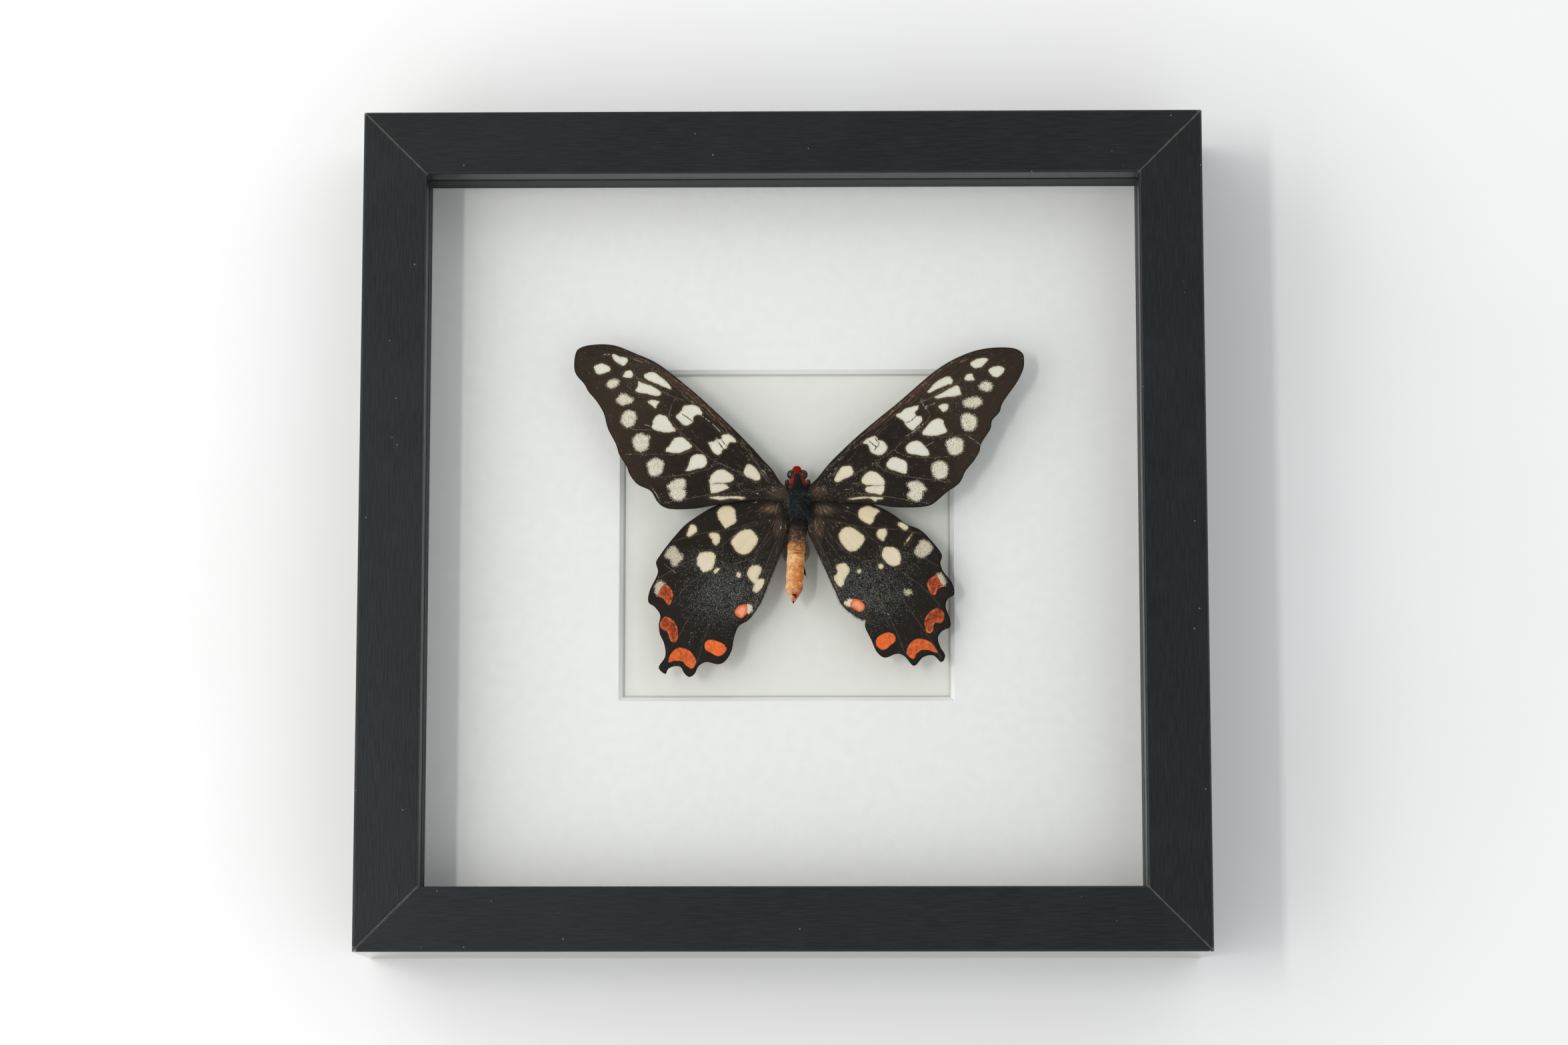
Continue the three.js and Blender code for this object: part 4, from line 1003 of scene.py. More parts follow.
def wing_scales(settings, forewing):
    """Wing membrane under overlapping scales: matt, slightly silky, with feathery spots."""
    material, shader = new_material("Scales, forewing" if forewing else "Scales, hindwing")
    node = partial(pattern_node, material)
    place = object_millimetres(material)
    keys = WING_READINGS + (("vein",) if forewing else ("red", "warmth"))
    read = {key: add_node(material, "ShaderNodeAttribute", attribute_name=key).outputs["Fac"] for key in keys}

    # Scales lie in rows that fan out from the root: streaks 0.3 mm wide and several mm long.
    ray, reach, rim = read["ray"], read["reach"], read["rim"]
    fan = node("pair", node("times", ray, 60.0), node("times", reach, 0.22))
    streaks = node("noise", fan, 1.7, 3)
    fine_streaks = node("noise", fan, 4.5, 3)
    grains = node("noise", place, 4.0, 2)
    patches = node("noise", place, 0.16, 3)
    ragged = node(
        "plus", node("times", node("minus", streaks, 0.5), 0.85),
        node("times", node("minus", node("noise", place, 4.2, 4), 0.5), 1.0))
    veins = node(
        "times", node("fade", node("unsigned", read["vein_side"]), 0.16, 0.05), node("fade", rim, 0.2, 1.0))

    # Single scales: cells 0.2 mm wide, each with its own chance of being pale.
    cells = add_node(
        material, "ShaderNodeTexVoronoi", {"Vector": place, "Scale": 5.6, "Randomness": 1.0})
    dice = add_node(material, "ShaderNodeSeparateColor", {"Color": cells.outputs["Color"]}).outputs
    chance, scale_tone = dice["Red"], dice["Green"]
    dot = node("fade", cells.outputs["Distance"], 0.52, 0.38)

    # Dark ground, browner outwards and beside the body.
    outward = node("fade", node("plus", reach, node("times", patches, 16.0)), 34.0, 62.0)
    ground = node("blend", outward, settings.ground, settings.outer_ground if forewing else linear("#1c1815"))
    ground = node("blend", node("times", node("fade", reach, 58.0, 74.0), 0.5), ground, linear("#271f19"))
    ground = node("blend", node("fade", reach, 15.0, 6.0), ground, linear("#1d1713"))
    ground = node(
        "blend", node("times", node("fade", streaks, 0.48, 0.72), 0.2 if forewing else 0.16), ground,
        linear("#4d4031"))
    rubbed = node("fade", node("noise", place, 0.45, 4), 0.42, 0.62)
    root_streaks = node("noise", node("pair", node("times", ray, 20.0), node("times", reach, 0.4)), 1.0, 5)
    base_hairs = node(
        "times", node("fade", root_streaks, 0.52, 0.66), node("fade", reach, 24.0, 10.0),
        node("plus", node("times", rubbed, 0.5), 0.1))
    ground = node("blend", base_hairs, ground, linear("#544639"))
    away = node(
        "times", node("fade", reach, 6.0, 16.0),
        node("fade", node("noise", place, 0.8, 3), 0.3, 0.55))
    ground = node(
        "blend", node("times", veins, away, 0.7), ground, linear("#665748" if forewing else "#554a3f"))
    worn_patch = node(
        "times", read["tan"], node("plus", node("times", node("fade", root_streaks, 0.42, 0.6), 0.6), 0.25))
    ground = node("blend", node("times", worn_patch, 0.75), ground, linear("#866d59"))

    # The margin nearest the head or the body carries fine lengthwise lines.
    margin = read["margin"]
    wander = node("times", node("minus", node("noise", place, 0.35, 3), 0.5), 2.2)
    lengthwise = node(
        "noise", node("pair", node("plus", node("times", margin, 4.2), wander), node("times", reach, 0.16)),
        1.0, 4)
    broken = node("fade", node("noise", place, 0.9, 4), 0.38, 0.6)
    if forewing:
        band = node(
            "times", node("fade", node("plus", margin, wander), 3.2, 1.2), node("fade", reach, 18.0, 34.0),
            node("fade", reach, 60.0, 46.0))
        ground = node(
            "blend", node("times", band, node("fade", lengthwise, 0.3, 0.62), 0.75), ground,
            settings.leading_edge)
        ground = node(
            "blend",
            node("times", node("fade", lengthwise, 0.46, 0.36), node("fade", margin, 5.0, 3.0), 0.8),
            ground, linear("#120e0c"))
        line = node(
            "times", node("fade", lengthwise, 0.58, 0.64), node("fade", margin, 4.2, 2.8), broken,
            node("fade", reach, 72.0, 60.0))
        ground = node("blend", node("times", line, 0.6), ground, linear("#9b8c7a"))
    else:
        band = node("fade", node("plus", margin, node("times", streaks, 1.5)), 3.4, 1.4)
        ground = node("blend", node("times", band, 0.6), ground, linear("#2e261e"))
        line = node(
            "times", band, node("fade", lengthwise, 0.56, 0.64), broken, node("fade", reach, 44.0, 34.0))
        ground = node("blend", node("times", line, 0.7), ground, linear("#8c8070"))
    ground = node("blend", node("times", node("fade", rim, 0.5, 0.1), 0.7), ground, linear("#191512"))

    # Single pale scales, thickest along the veins, at the base and in the forewing's middle.
    worn = node("times", node("fade", read["vein"], 1.2, 0.2), 0.05) if forewing else node(
        "times", read["dust"], 0.01)
    worn = node("times", node("plus", worn, 0.004), node("plus", node("times", rubbed, 1.2), 0.15))
    fleck = node("times", node("below", chance, worn), dot)
    at_root = node(
        "times", node("fade", root_streaks, 0.58, 0.64),
        node("fade", node("noise", place, 2.2, 3), 0.54, 0.6), node("fade", reach, 17.0, 9.0),
        node("fade", node("noise", place, 0.35, 3), 0.46, 0.6))
    ground = node("blend", node("times", node("most", fleck, at_root), 0.85), ground, linear("#c9c0b1"))

    # Olive-brown scales round every pale spot.
    pale = node("plus", read["pale"], node("times", ragged, 0.8 if forewing else 1.15))
    colour = node("blend", node("times", node("fade", pale, 0.8, 0.0), 0.55), ground, linear("#54482f"))

    # Marginal spots: crowded pale scales with dark ones between, thinning out at the edge.
    speckled = node("plus", read["speckled"], node("times", ragged, 0.7))
    crowd = node("fade", speckled, 0.35, -0.9)
    colour = node("blend", node("times", node("fade", speckled, 0.9, 0.0), 0.5), colour, linear("#54482f"))
    powder = node(
        "blend", node("fade", node("noise", place, 4.6, 2), 0.5, 0.62),
        settings.speckle if forewing else linear("#d9d0ba"), linear("#b9ad94"))
    colour = node("blend", node("times", node("fade", speckled, 0.12, -0.2), 0.9), colour, powder)
    dark_scale = node(
        "times", node("below", chance, node("minus", 0.68 if forewing else 0.8, node("times", crowd, 0.4))),
        dot)
    inside = node("fade", speckled, 0.05, -0.15)
    colour = node("blend", node("times", dark_scale, inside, 0.85), colour, linear("#574c3a"))
    edge_scale = node(
        "times", node("below", chance, node("fade", speckled, 0.75, -0.1)), dot, node("minus", 1.0, inside))
    colour = node("blend", node("times", edge_scale, 0.9), colour, settings.speckle)

    # Clear pale spots, warmer near the body, faintly lined, and cut by dark splits.
    warm = node("times", node("fade", reach, 28.0, 12.0), 0.6) if forewing else node(
        "fade", reach, 50.0, 20.0)
    cream = node("blend", warm, settings.pale, settings.cream)
    cream = node("blend", node("times", node("fade", fine_streaks, 0.5, 0.75), 0.3), cream, linear("#c3bba4"))
    cream = node("blend", node("times", node("fade", pale, -0.6, 0.0), 0.4), cream, linear("#b7ab8a"))
    split = node("fade", node("plus", read["nick"], node("times", ragged, 0.4)), 0.10, 0.28)
    lost = node("times", node("below", chance, node("times", node("fade", pale, -1.0, 0.1), 0.30)), dot)
    spot = node("times", node("fade", pale, 0.08, -0.08), split, node("minus", 1.0, node("times", lost, 0.7)))
    colour = node("blend", spot, colour, cream)

    if not forewing:
        # Red spots: mottled brick with orange rims and dark scales, or clear orange.
        red = node("plus", read["red"], node("times", ragged, 0.5))
        warmth = read["warmth"]
        brick = node(
            "blend", node("fade", node("noise", place, 1.3, 5), 0.36, 0.6), settings.brick,
            linear("#7a2b18"))
        brick = node(
            "blend",
            node(
                "times", node("fade", red, -0.8, -0.1),
                node("fade", node("noise", place, 0.7, 3), 0.42, 0.6)), brick, linear("#dd7347"))
        sunk = node(
            "times",
            node(
                "below", chance,
                node("times", node("fade", node("noise", place, 0.9, 3), 0.36, 0.6), 0.6)), dot)
        brick = node("blend", node("times", sunk, 0.85), brick, linear("#3a1810"))
        raised = node("times", node("above", chance, 0.9), dot)
        brick = node("blend", node("times", raised, 0.7), brick, linear("#e08a5c"))
        orange = node(
            "blend", node("fade", node("noise", place, 1.0, 4), 0.4, 0.66), settings.orange,
            linear("#d65c2c"))
        orange = node(
            "blend", node("times", node("fade", node("noise", place, 3.4, 2), 0.6, 0.7), 0.4), orange,
            linear("#f0a883"))
        pink = node(
            "plus", read["red"], node("times", node("minus", node("noise", place, 0.7, 3), 0.5), 1.6))
        orange = node(
            "blend", node("times", node("fade", warmth, 1.2, 1.9), node("fade", pink, 0.0, -1.2), 0.8),
            orange, linear("#f0a98b"))
        share = node(
            "plus", warmth, node("times", node("minus", node("noise", place, 0.8, 4), 0.5), 1.9),
            use_clamp=True)
        share = node("most", share, node("fade", warmth, 0.7, 0.95))
        colour = node("blend", node("fade", red, 0.12, -0.12), colour, node("blend", share, brick, orange))

    # Grey dust: single scales, each with its own tone, scattered over the dark ground.
    density = node("times", read["dust"], node("fade", node("noise", place, 0.4, 3), 0.2, 0.5), 0.6)
    specks = node("times", node("above", chance, node("minus", 1.0, density)), dot, node("minus", 1.0, spot))
    specks = node("times", specks, node("fade", red, -0.1, 0.2)) if not forewing else specks
    shade = node("blend", node("times", scale_tone, scale_tone), linear("#4c5252"), settings.dust)
    colour = node("blend", node("times", specks, 0.85), colour, shade)

    # Scratches, where the light membrane shows.
    scratch = node(
        "times", node("fade", node("unsigned", read["scratch"]), 0.16, 0.05),
        node("fade", node("noise", place, 1.7, 3), 0.44, 0.56), 0.7)
    colour = node("blend", scratch, colour, linear("#c4c0b3"))
    feed(material, shader, "Base Color", colour)
    feed(
        material, shader, "Roughness",
        add_node(material, "ShaderNodeMapRange", {"Value": grains, "To Min": 0.6, "To Max": 0.85}))
    feed(material, shader, "Specular IOR Level", 0.14)

    rows = node(
        "plus", node("times", grains, 0.5),
        node("plus", node("times", streaks, 0.6), node("times", fine_streaks, 0.5)))
    bump = add_node(material, "ShaderNodeBump", {"Height": rows, "Strength": 0.4, "Distance": 0.12 * MM})
    feed(material, shader, "Normal", bump)
    return material


# ---- the body ----
def put_in_order(obj):
    """Sorts points and faces by place, because Blender's tools leave them in another order each run."""
    mesh = obj.data
    points = np.array([v.co for v in mesh.vertices])
    order = np.lexsort(np.round(points / MM, 4).T)
    rank = {int(old): new for new, old in enumerate(order)}
    faces = []
    for face in mesh.polygons:
        corners = [rank[v] for v in face.vertices]
        first = corners.index(min(corners))
        faces.append(corners[first:] + corners[:first])
    mesh.clear_geometry()
    mesh.from_pydata(points[order], [], sorted(faces))


def draw_out(name, rings, sides):
    """A closed tube: a first ring, extruded ring by ring along Y, then capped."""
    deselect_all()
    y, x, z, wide, high = rings[0]
    bpy.ops.mesh.primitive_circle_add(
        vertices=sides, radius=1, fill_type="NGON", location=(x * MM, y * MM, z * MM),
        rotation=(math.pi / 2, 0, 0))
    obj = bpy.context.object
    obj.name = obj.data.name = name
    bpy.ops.object.transform_apply(location=True, rotation=True, scale=True)
    bpy.ops.object.mode_set(mode="EDIT")
    bpy.ops.mesh.select_all(action="SELECT")
    bpy.ops.transform.resize(value=(wide * MM, 1, high * MM), center_override=(x * MM, y * MM, z * MM))
    for before, after in zip(rings[:-1], rings[1:]):
        move = tuple((after[k] - before[k]) * MM for k in (1, 0, 2))
        bpy.ops.mesh.extrude_region_move(TRANSFORM_OT_translate={"value": move})
        bpy.ops.transform.resize(
            value=(after[3] / before[3], 1, after[4] / before[4]),
            center_override=(after[1] * MM, after[0] * MM, after[2] * MM))
    bpy.ops.mesh.select_all(action="SELECT")
    bpy.ops.mesh.normals_make_consistent(inside=False)
    bpy.ops.object.mode_set(mode="OBJECT")
    put_in_order(obj)
    return obj


def tail_rings():
    """Rings of the abdomen, with a crease between segments and a pointed end."""
    rings = []
    steps = round((TAIL_START[0] - TAIL_END[0]) / TAIL_STEP)
    for i in range(steps + 1):
        t = i / steps
        y, x, z = (a + (b - a) * t for a, b in zip(TAIL_START, TAIL_END))
        girth = 2.7 if y > WAIST_END else 2.6
        bulge = 0.1 * math.sin(math.pi * (y - WAIST_END) / SEGMENT_LENGTH) ** 2
        cone = max(0.0, (CONE_START - y) / CONE_LENGTH)
        taper = max(0.07, 1 - cone ** 1.15)
        crease = sum(0.055 * math.exp(-((y - at) / 0.3) ** 2) for at in TAIL_CREASES)
        r = (girth + bulge) * taper * (1 - crease)
        rings.append((y, x, z, r, r * 0.98))
    return rings


def surface_spots(obj, count, keep, random):
    """Random places on the part of a mesh that keep allows, with their normals."""
    mesh = obj.data
    mesh.calc_loop_triangles()
    corners = np.array([v.co for v in mesh.vertices])[
        np.array([t.vertices for t in mesh.loop_triangles])]
    edges_a, edges_b = corners[:, 1] - corners[:, 0], corners[:, 2] - corners[:, 0]
    normals = np.cross(edges_a, edges_b)
    areas = np.linalg.norm(normals, axis=1)
    normals = normals / areas[:, None]
    wanted = areas * keep(corners.mean(axis=1) / MM, normals)
    chosen = random.choice(len(areas), size=count, p=wanted / wanted.sum())
    u, v = random.random((2, count, 1))
    over = (u + v) > 1
    u, v = np.where(over, 1 - u, u), np.where(over, 1 - v, v)
    return corners[chosen, 0] + u * edges_a[chosen] + v * edges_b[chosen], normals[chosen]


def unit(vectors):
    return vectors / np.maximum(np.linalg.norm(vectors, axis=1, keepdims=True), 1e-9)


def hair_coat(name, roots, directions, lengths, width, droop, random, material, slot="body"):
    """A coat of tapering three-sided hairs, each bent along its droop."""
    count = len(roots)
    directions = unit(directions)
    side = unit(np.cross(directions, random.normal(size=(count, 3))))
    other = np.cross(directions, side)
    lengths = lengths[:, None]
    rings = []
    for t, thick in ((0.0, 1.0), (0.55, 0.8)):
        middle = roots + directions * lengths * t + droop * lengths * t ** 2
        for k in range(3):
            turn = 2 * math.pi * k / 3
            rings.append(middle + (side * math.cos(turn) + other * math.sin(turn)) * width * thick)
    rings.append(roots + directions * lengths + droop * lengths)
    points = np.stack(rings, axis=1).reshape(-1, 3)
    one = [(0, 2, 1), (0, 1, 4, 3), (1, 2, 5, 4), (2, 0, 3, 5), (3, 4, 6), (4, 5, 6), (5, 3, 6)]
    faces = [tuple(7 * i + k for k in face) for i in range(count) for face in one]
    mesh = bpy.data.meshes.new(name)
    mesh.from_pydata(points, [], faces)
    tone = mesh.attributes.new("tone", "FLOAT", "POINT")
    tone.data.foreach_set("value", np.repeat(random.random(count), 7).astype(np.float32))
    obj = bpy.data.objects.new(name, mesh)
    bpy.context.scene.collection.objects.link(obj)
    settle(obj, slot)
    dress(obj, material)
    return obj


def hair_material(name, dark, light, contrast, roughness):
    """Insect hair: matt strands, most of them dark, that differ in tone."""
    material, shader = new_material(name)
    tone = add_node(material, "ShaderNodeAttribute", attribute_name="tone").outputs["Fac"]
    tone = add_node(material, "ShaderNodeMath", {0: tone, 1: contrast}, operation="POWER")
    feed(material, shader, "Base Color", pattern_node(material, "blend", tone, dark, light))
    feed(material, shader, "Roughness", roughness)
    feed(material, shader, "Specular IOR Level", 0.1)
    return material


def body_skin():
    """Dry insect skin: black thorax, brown waist with pale rings, peach abdomen, red-orange tail."""
    material, shader = new_material("Insect skin with short down")
    place = object_millimetres(material)
    split = add_node(material, "ShaderNodeSeparateXYZ", {0: place})
    node = partial(pattern_node, material)

    # The bands follow the segments and wander by about 0.5 mm.
    low, high = SKIN_BANDS[0][0], SKIN_BANDS[-1][0]
    wander = node("times", node("minus", node("noise", place, 0.8, 6), 0.5), 1.4)
    along = add_node(
        material, "ShaderNodeMapRange",
        {"Value": node("plus", split.outputs["Y"], wander), "From Min": low, "From Max": high})
    bands = add_node(material, "ShaderNodeValToRGB", {"Fac": along})
    ramp = bands.color_ramp
    while len(ramp.elements) < len(SKIN_BANDS):
        ramp.elements.new(0.5)
    for element, (y, code) in zip(ramp.elements, SKIN_BANDS):
        element.position = (y - low) / (high - low)
        element.color = rgba(code)
    colour = bands.outputs["Color"]

    # Painted light on the abdomen: a cream highlight along the left flank and darker orange shade along the
    # right flank; the bands grow redder towards the tail.
    middle = node("plus", node("times", split.outputs["Y"], 0.05), 4.17)
    offset = node("minus", split.outputs["X"], middle)
    abdomen = node("fade", split.outputs["Y"], -5.0, -7.0)
    # Painted highlight (cream) on the left flank, painted shade (dark orange) on the right flank.
    for start, end, strength, code in ((0.3, -2.0, 0.45, "#f3d8ae"), (0.8, 2.4, 0.4, "#b0683a")):
        flank_light_and_shade = node("times", node("fade", offset, start, end), abdomen, strength)
        colour = node("blend", flank_light_and_shade, colour, linear(code))
    mottled = node("fade", split.outputs["Y"], -3.5, -6.0)
    for scale, detail, start, end, strength, code in SKIN_MOTTLES:
        mottle = node("fade", node("noise", place, scale, detail), start, end)
        colour = node("blend", node("times", mottle, mottled, strength), colour, linear(code))
    waist = node(
        "times", node("fade", split.outputs["Y"], -6.6, -4.0),
        node("fade", node("noise", place, 0.9, 5), 0.42, 0.6))
    colour = node("blend", node("times", waist, 0.7), colour, linear("#3a2719"))
    tan = node(
        "times", node("fade", split.outputs["Y"], 1.5, -0.5), node("fade", split.outputs["Y"], -4.4, -3.2))
    tan = node("times", tan, node("fade", node("noise", place, 1.2, 5), 0.5, 0.64))
    colour = node("blend", node("times", tan, 0.75), colour, linear("#8d6b48"))

    # The head: a scarlet face and two orange-red stripes that run back and apart.
    behind = node("minus", STRIPE_START, split.outputs["Y"])
    centre = node("plus", node("times", behind, STRIPE_DRIFT), STRIPE_MIDDLE)
    spread = node("plus", node("times", behind, STRIPE_SPREAD), STRIPE_AWAY)
    aside = node("unsigned", node("minus", split.outputs["X"], centre))
    stripe = node("fade", node("unsigned", node("minus", aside, spread)), 0.85, 0.6)
    stripe = node("times", stripe, node("fade", behind, 4.1, 3.7))
    colour = node("blend", node("times", stripe, node("fade", behind, -0.6, -0.2)), colour, linear("#b5321f"))
    colour = node("blend", node("fade", split.outputs["Y"], 17.9, 18.1), colour, linear("#b01a14"))

    # The dark opening at the end of the tail.
    for x, y, wide, long in TAIL_OPENING:
        away = add_node(
            material, "ShaderNodeVectorMath", {0: place, 1: (x, y, 0)}, operation="SUBTRACT")
        flat = add_node(
            material, "ShaderNodeVectorMath", {0: away, 1: (1 / wide, 1 / long, 0)}, operation="MULTIPLY")
        size = add_node(material, "ShaderNodeVectorMath", {0: flat}, operation="LENGTH").outputs["Value"]
        colour = node("blend", node("fade", size, 1.15, 0.75), colour, linear("#24120c"))

    fine = node("noise", place, 4.0, 4)
    shade = add_node(material, "ShaderNodeMapRange", {"Value": fine, "To Min": 0.8, "To Max": 1.18})
    colour = add_node(material, "ShaderNodeVectorMath", {0: colour, "Scale": shade}, operation="SCALE")
    feed(material, shader, "Base Color", colour)
    feed(material, shader, "Roughness", 0.6)
    feed(material, shader, "Specular IOR Level", 0.25)
    bump = add_node(material, "ShaderNodeBump", {"Height": fine, "Strength": 0.5, "Distance": 0.15 * MM})
    feed(material, shader, "Normal", bump)
    return material


def eye_gloss():
    """Compound eye: brown, glossy, with facets drawn 0.15 mm wide so that they show."""
    material, shader = new_material("Compound eye, glossy brown")
    place = add_node(material, "ShaderNodeTexCoord").outputs["Object"]
    facets = add_node(
        material, "ShaderNodeTexVoronoi", {"Vector": place, "Scale": 6500.0}, feature="DISTANCE_TO_EDGE")
    cloud = add_node(material, "ShaderNodeTexNoise", {"Vector": place, "Scale": 900.0})
    colour = pattern_node(material, "blend", cloud.outputs["Fac"], linear("#17100e"), linear("#3a2b24"))
    feed(material, shader, "Base Color", colour)
    feed(material, shader, "Roughness", 0.25)
    feed(material, shader, "Specular IOR Level", 0.35)
    bump = add_node(
        material, "ShaderNodeBump",
        {"Height": facets.outputs["Distance"], "Strength": 0.25, "Distance": 0.02 * MM})
    feed(material, shader, "Normal", bump)
    return material


def leg_shell():
    """Hard insect shell: dark brown, a little glossy."""
    material, shader = new_material("Leg shell, dark brown")
    place = add_node(material, "ShaderNodeTexCoord").outputs["Object"]
    cloud = add_node(material, "ShaderNodeTexNoise", {"Vector": place, "Scale": 1500.0, "Detail": 4})
    colour = pattern_node(material, "blend", cloud.outputs["Fac"], linear("#140f0c"), linear("#3a2a20"))
    feed(material, shader, "Base Color", colour)
    feed(material, shader, "Roughness", 0.4)
    feed(material, shader, "Specular IOR Level", 0.2)
    bump = add_node(
        material, "ShaderNodeBump", {"Height": cloud.outputs["Fac"], "Strength": 0.4, "Distance": 0.05 * MM})
    feed(material, shader, "Normal", bump)
    return material


# ---- finishes of the case ----
def black_rail(settings, lengthways):
    """Fibreboard moulding in matt black foil: fine grain along the rail, pale hairline at the mitres."""
    material, shader = new_material("Black foiled moulding, grain along " + lengthways)
    place = object_millimetres(material)
    split = add_node(material, "ShaderNodeSeparateXYZ", {0: place})
    node = partial(pattern_node, material)

    # Grain lines 0.4 mm apart and 15 to 20 mm long.
    stretch = (0.06, 1, 1) if lengthways == "X" else (1, 0.06, 1)
    grain_place = add_node(material, "ShaderNodeMapping", {"Vector": place, "Scale": stretch})
    grain = add_node(material, "ShaderNodeTexNoise", {"Vector": grain_place, "Scale": 2.4, "Detail": 5})
    cloud = add_node(material, "ShaderNodeTexNoise", {"Vector": place, "Scale": 0.05, "Detail": 3})
    colour = node("blend", node("fade", grain.outputs["Fac"], 0.35, 0.7), settings.lacquer, linear("#11181a"))
    colour = node(
        "blend", node("times", node("fade", cloud.outputs["Fac"], 0.35, 0.7), 0.35), colour,
        linear("#151d20"))

    # Light specks: grit under the foil, about 0.3 mm.
    grit = add_node(material, "ShaderNodeTexVoronoi", {"Vector": place, "Scale": 0.16})
    speck = node("times", node("fade", grit.outputs["Distance"], 0.05, 0.02), 0.5)
    colour = node("blend", speck, colour, linear("#8d9494"))

    # Raw board shows as a hairline where two rails meet, and in chips at the outer corners.
    from_mitre = node(
        "unsigned",
        node("minus", node("unsigned", split.outputs["X"]), node("unsigned", split.outputs["Y"])))
    rough = add_node(material, "ShaderNodeTexNoise", {"Vector": place, "Scale": 0.7, "Detail": 4})
    hairline = node("fade", node("minus", from_mitre, node("times", rough.outputs["Fac"], 0.3)), 0.16, 0.04)
    corner = node("plus", node("unsigned", split.outputs["X"]), node("unsigned", split.outputs["Y"]))
    chip = node("times", node("fade", corner, 247.6, 249.4), node("fade", rough.outputs["Fac"], 0.5, 0.58))
    chip = node("times", chip, node("fade", split.outputs["Z"], 43.4, 44.8))
    colour = node(
        "blend", node("most", node("times", hairline, 0.45), node("times", chip, 0.8)), colour,
        settings.raw_edge)
    back = node("fade", split.outputs["Z"], 0.4, 0.1)
    colour = node("blend", back, colour, linear("#a58a66"))
    feed(material, shader, "Base Color", colour)

    # The outer sides are pressed smooth: they mirror the floor at a low angle.
    outermost = node("most", node("unsigned", split.outputs["X"]), node("unsigned", split.outputs["Y"]))
    matt = node("fade", outermost, 124.97, 124.85)
    grainy = add_node(
        material, "ShaderNodeMapRange", {"Value": grain.outputs["Fac"], "To Min": 0.34, "To Max": 0.46})
    roughness = add_node(
        material, "ShaderNodeMix", {"Factor": matt, "A": 0.05, "B": grainy}, data_type="FLOAT")
    feed(material, shader, "Roughness", roughness)
    feed(material, shader, "Specular IOR Level", 0.45)
    bump = add_node(
        material, "ShaderNodeBump",
        {"Height": grain.outputs["Fac"], "Strength": node("times", matt, 0.35), "Distance": 0.08 * MM})
    feed(material, shader, "Normal", bump)
    return material


def picture_glass():
    """Clear float glass: sharp faint reflections. Lamps shine through it without a caustic."""
    material = bpy.data.materials.new("Clear float glass")
    material.use_nodes = True
    material.node_tree.nodes.clear()
    shader = add_node(
        material, "ShaderNodeBsdfPrincipled",
        {"Base Color": linear("#fbfdfc"), "Roughness": 0.0, "IOR": 1.5, "Transmission Weight": 1.0})
    clear = add_node(material, "ShaderNodeBsdfTransparent", {"Color": linear("#fcfbfa")})
    rays = add_node(material, "ShaderNodeLightPath").outputs
    soft = pattern_node(material, "most", rays["Is Shadow Ray"], rays["Is Diffuse Ray"])
    mixed = add_node(material, "ShaderNodeMixShader", {0: soft, 1: shader, 2: clear})
    add_node(material, "ShaderNodeOutputMaterial", {"Surface": mixed})
    return material


def plain_stock(name, dark, light, scale, detail, roughness, depth, stretch=(1, 1, 1)):
    """Board, paper, card or metal sheet: two close tones in a noise of its own size, and a light relief."""
    material, shader = new_material(name)
    millimetres = object_millimetres(material)
    place = add_node(material, "ShaderNodeMapping", {"Vector": millimetres, "Scale": stretch})
    cloud = add_node(material, "ShaderNodeTexNoise", {"Vector": place, "Scale": scale, "Detail": detail})
    share = pattern_node(material, "fade", cloud.outputs["Fac"], 0.3, 0.7)
    feed(material, shader, "Base Color", pattern_node(material, "blend", share, dark, light))
    feed(material, shader, "Roughness", roughness)
    bump = add_node(
        material, "ShaderNodeBump", {"Height": cloud.outputs["Fac"], "Strength": 0.4, "Distance": depth * MM})
    feed(material, shader, "Normal", bump)
    return material, shader


# ---- operators ----
class BuildWings(bpy.types.Operator):
    """Builds the four wings with their markings"""

    bl_idname = "specimen.build_wings"
    bl_label = "Wings"

    def execute(self, context):
        settings = context.scene.specimen_wings
        finishes = {"forewing": wing_scales(settings, True), "hindwing": wing_scales(settings, False)}
        for name, wing in WINGS.items():
            dress(build_wing(name, wing, settings), finishes[wing["slot"]])
        return {"FINISHED"}


class BuildBody(bpy.types.Operator):
    """Builds the head, thorax and abdomen with the eyes and shoulder plates"""

    bl_idname = "specimen.build_body"
    bl_label = "Body and eyes"

    def execute(self, context):
        body = draw_out("body_skin", FRONT_RINGS + tail_rings(), 24)
        apply_modifier(body, "SUBSURF", levels=1, render_levels=1)
        settle(body, "body", "butterfly_body")
        dress(body, body_skin())
        gloss, shell = eye_gloss(), leg_shell()
        for side, name in ((-1, "left"), (1, "right")):
            deselect_all()
            bpy.ops.mesh.primitive_uv_sphere_add(
                segments=32, ring_count=20, radius=EYE_RADIUS * MM,
                location=((HEAD_MIDDLE + side * EYE_APART) * MM, 17.1 * MM, 30.75 * MM),
                scale=(0.95, 1.04, 1.0))
            eye = bpy.context.object
            eye.name = eye.data.name = name + "_eye"
            put_in_order(eye)
            settle(eye, "body")
            dress(eye, gloss)
            rings = [(y, THORAX_MIDDLE + side * x, z, wide, high) for y, x, z, wide, high in SHOULDER_RINGS]
            plate = draw_out(name + "_shoulder", rings, 10)
            apply_modifier(plate, "SUBSURF", levels=1, render_levels=1)
            settle(plate, "body")
            dress(plate, shell)
        return {"FINISHED"}


